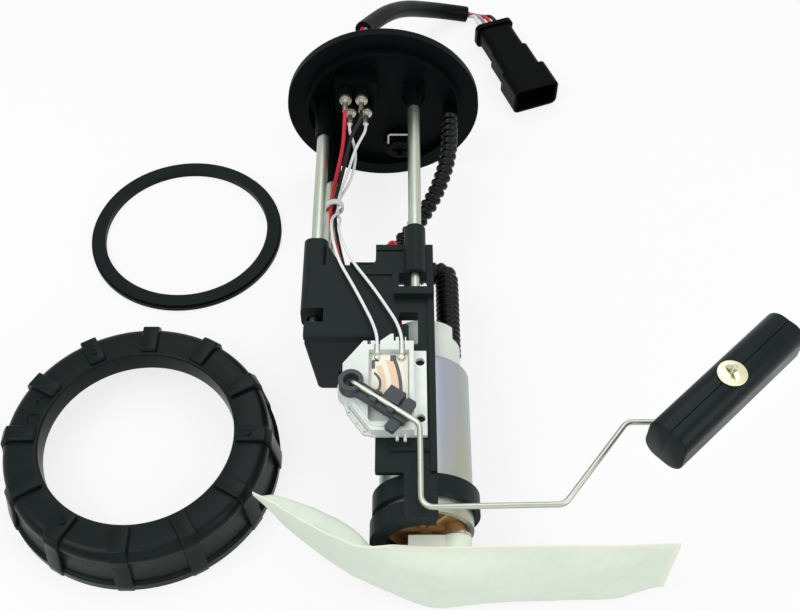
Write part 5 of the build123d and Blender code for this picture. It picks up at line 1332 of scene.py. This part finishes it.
@dataclass
class StrainerBag:
    """Felt bag of the strainer: two layers, welded round their border and puffed out by simulation."""

    shop: Shop
    left: float = -52.0
    right: float = 120.0
    columns: int = 110
    rows: int = 34
    weld: float = 2.6
    rise: float = 9.0
    flat_from: float = 3.0
    most: float = 2.2
    tail_end: float = 5.0
    tail_blend: float = 12.0
    crowding: float = 1.6
    seam_share: float = 0.22
    tail_share: float = 0.9
    fold_share: float = 0.65
    fold_span: float = 4.0
    sheet: float = 0.35
    ripple: float = 0.35
    pressure: float = 4.0
    frames: int = 20
    surface: float = -48.9

    FRONT = (
        ((-52, 217.8), (-44.5, 222.8), (-32, 231.2), (-20.6, 238.2), (-10, 243.6), (4, 246.6), (13.8, 249.2))
        + ((22, 251.2), (28, 251.4), (42.5, 249.6), (69, 248.0), (93, 247.4), (102, 246.6))
        + ((110, 244.8), (120, 243.8))
    )
    BACK = (
        ((-52, 216.8), (-45, 218.2), (-35.5, 220.8), (-26, 224.6), (-17.2, 229.4), (-11, 234.0))
        + ((-8, 236.6), (-2.9, 241.6), (4, 242.2), (60, 242.2), (120, 242.4))
    )
    TOP = (
        ((-52, -6.5), (-44.5, -4.5), (-32, -5.0), (-20.6, -4.4), (-10, -2.8))
        + ((0, -2.2), (60, -2.2), (120, -2.4))
    )
    LOW = (
        ((-52, -9.0), (-48.8, -12), (-39, -22.5), (-23.5, -30), (-7, -36), (6.6, -44), (13.8, -47.4))
        + ((20, -48.7), (27, -48.9), (92, -48.9), (102, -48.0), (110, -45.2), (116, -41.6), (120, -41.8))
    )

    @staticmethod
    def read(table: Sequence[Tuple[float, float]], x: float) -> float:
        """Value of a contour at a place along the bag.

        Args:
            table: Places and values, in order.
            x: Place along the bag.

        Returns:
            The value between its two neighbours.
        """
        for (x0, a), (x1, b) in zip(table, table[1:]):
            if x <= x1:
                share = min(max((x - x0) / (x1 - x0), 0.0), 1.0)
                return a + (b - a) * share
        return table[-1][1]

    @staticmethod
    def ease(distance: float, start: float, span: float) -> float:
        """Rises from zero to one over a span, steep at first."""
        return math.sin(min(max((distance - start) / span, 0.0), 1.0) * math.pi / 2)

    def layer(self, work: Workpiece, front: bool) -> None:
        """Adds one felt layer, and marks its welded border and the places that stay flat.

        Args:
            work: Mesh that takes the layer.
            front: True for the layer that faces away from the pump.
        """
        floats = work.mesh.verts.layers.float
        welded = floats.get("weld") or floats.new("weld")
        held = floats.get("held") or floats.new("held")
        grid = bmesh.ops.create_grid(work.mesh, x_segments=self.columns, y_segments=self.rows, size=0.5)
        length = self.right - self.left
        for vert in grid["verts"]:
            along, height = vert.co.x + 0.5, 1 - (0.5 - vert.co.y) ** self.crowding
            x = self.left + length * along
            low, top = self.read(self.LOW, x), self.read(self.TOP, x)
            z = low + (top - low) * height
            near, far = self.read(self.FRONT, x), self.read(self.BACK, x)
            tail = min(max((self.tail_end - x) / self.tail_blend, 0.0), 1.0)
            weld = self.weld * (1 - 0.7 * tail)
            rise = self.rise if front else self.rise * (1 - 0.75 * tail)
            end = min(along, 1 - along) * length
            full = self.ease(top - z, weld, rise) * self.ease(end, weld, self.rise)
            fold = self.ease(z - low, -0.2, self.fold_span)
            seam = self.seam_share + (self.tail_share - self.seam_share) * tail
            share = seam + (1 - seam) * full if front else seam * (1 - full)
            share += (self.fold_share - share) * (1 - fold)
            wave = noise.noise(Vector((x * 0.05, z * 0.08, 3.0 if front else 8.0)))
            lift = self.sheet + self.ripple * full * fold * wave if front else -self.sheet
            depth = far + (near - far) * share + lift
            vert.co = Vector((x, -depth, z)) * MM
            vert[welded] = 1.0 if min(end, top - z) <= weld else 0.0
            vert[held] = 1.0 if vert[welded] or z - low < 1.0 or (not front and x > self.flat_from) else 0.0

    def puff_up(self, piece: bpy.types.Object) -> None:
        """Blows the layers up with cloth simulation and keeps the result in the mesh.

        Args:
            piece: The bag, whose welded border and flat back stay where they are.
        """
        marks = piece.data.attributes["held"].data
        pinned = piece.vertex_groups.new(name="pinned")
        pinned.add([index for index, mark in enumerate(marks) if mark.value > 0.5], 1.0, "REPLACE")
        cloth = piece.modifiers.new("puff", "CLOTH")
        cloth.settings.use_pressure = True
        cloth.settings.uniform_pressure_force = self.pressure
        cloth.settings.effector_weights.gravity = 0.0
        cloth.settings.vertex_group_mass = pinned.name
        cloth.collision_settings.use_collision = False
        for step in range(1, self.frames + 1):
            bpy.context.scene.frame_set(step)
        grown = piece.evaluated_get(bpy.context.evaluated_depsgraph_get()).to_mesh()
        places = [vert.co.copy() for vert in grown.vertices]
        piece.modifiers.remove(cloth)
        bpy.context.scene.frame_set(1)
        for vert, place in zip(piece.data.vertices, places):
            move = place - vert.co
            vert.co += move * min(1.0, self.most * MM / max(move.length, 1e-9))
            vert.co.z = max(vert.co.z, self.surface * MM)

    def build(self) -> None:
        """Builds the bag in place of its plain solid."""
        work = Workpiece("strainer_bag_felt")
        self.layer(work, True)
        self.layer(work, False)
        border = [edge for edge in work.mesh.edges if edge.is_boundary]
        bmesh.ops.bridge_loops(work.mesh, edges=border)
        piece = work.finished(Body.MODULE, 60.0)
        self.puff_up(piece)
        self.shop.dress(piece, "white_felt")
        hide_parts("strainer_bag")
        log.info("bag %s", piece.name)


def main() -> None:
    """Builds and dresses the module."""
    logging.basicConfig(level=logging.INFO)
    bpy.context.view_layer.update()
    shop = Shop()
    Studio().build()
    Solids(shop).dress()
    Harness(shop).build()
    upper = [
        (34, -3.5, -1),
        (34, -21, -1),
        (32.18, -35.95, -2.8),
        (27.76, -49.75, -6.1),
        (21.52, -61.83, -9.7),
        (13.98, -72.18, -13.3),
        (8, -78.5, -16),
        (8, -90.5, -16),
    ]
    lower = [
        (17.5, -96, -16),
        (24, -96, -16),
        (30.6, -96.4, -16),
        (31, -103, -16),
        (31, -116, -16),
        (31, -130, -16),
        (31, -144, -16),
    ]
    Hose(shop, "upper_hose", upper, 4.25, 4.3, 1.15).build()
    Hose(shop, "lower_hose", lower, 5.5, 2.9, 0.8).build()
    SolderJoints(shop).build()
    SenderTrim(shop).build()
    LockRing(shop).build()
    FloatBar(shop).build()
    PushNut(shop).build()
    StrainerBag(shop).build()


if __name__ == "__main__":
    main()
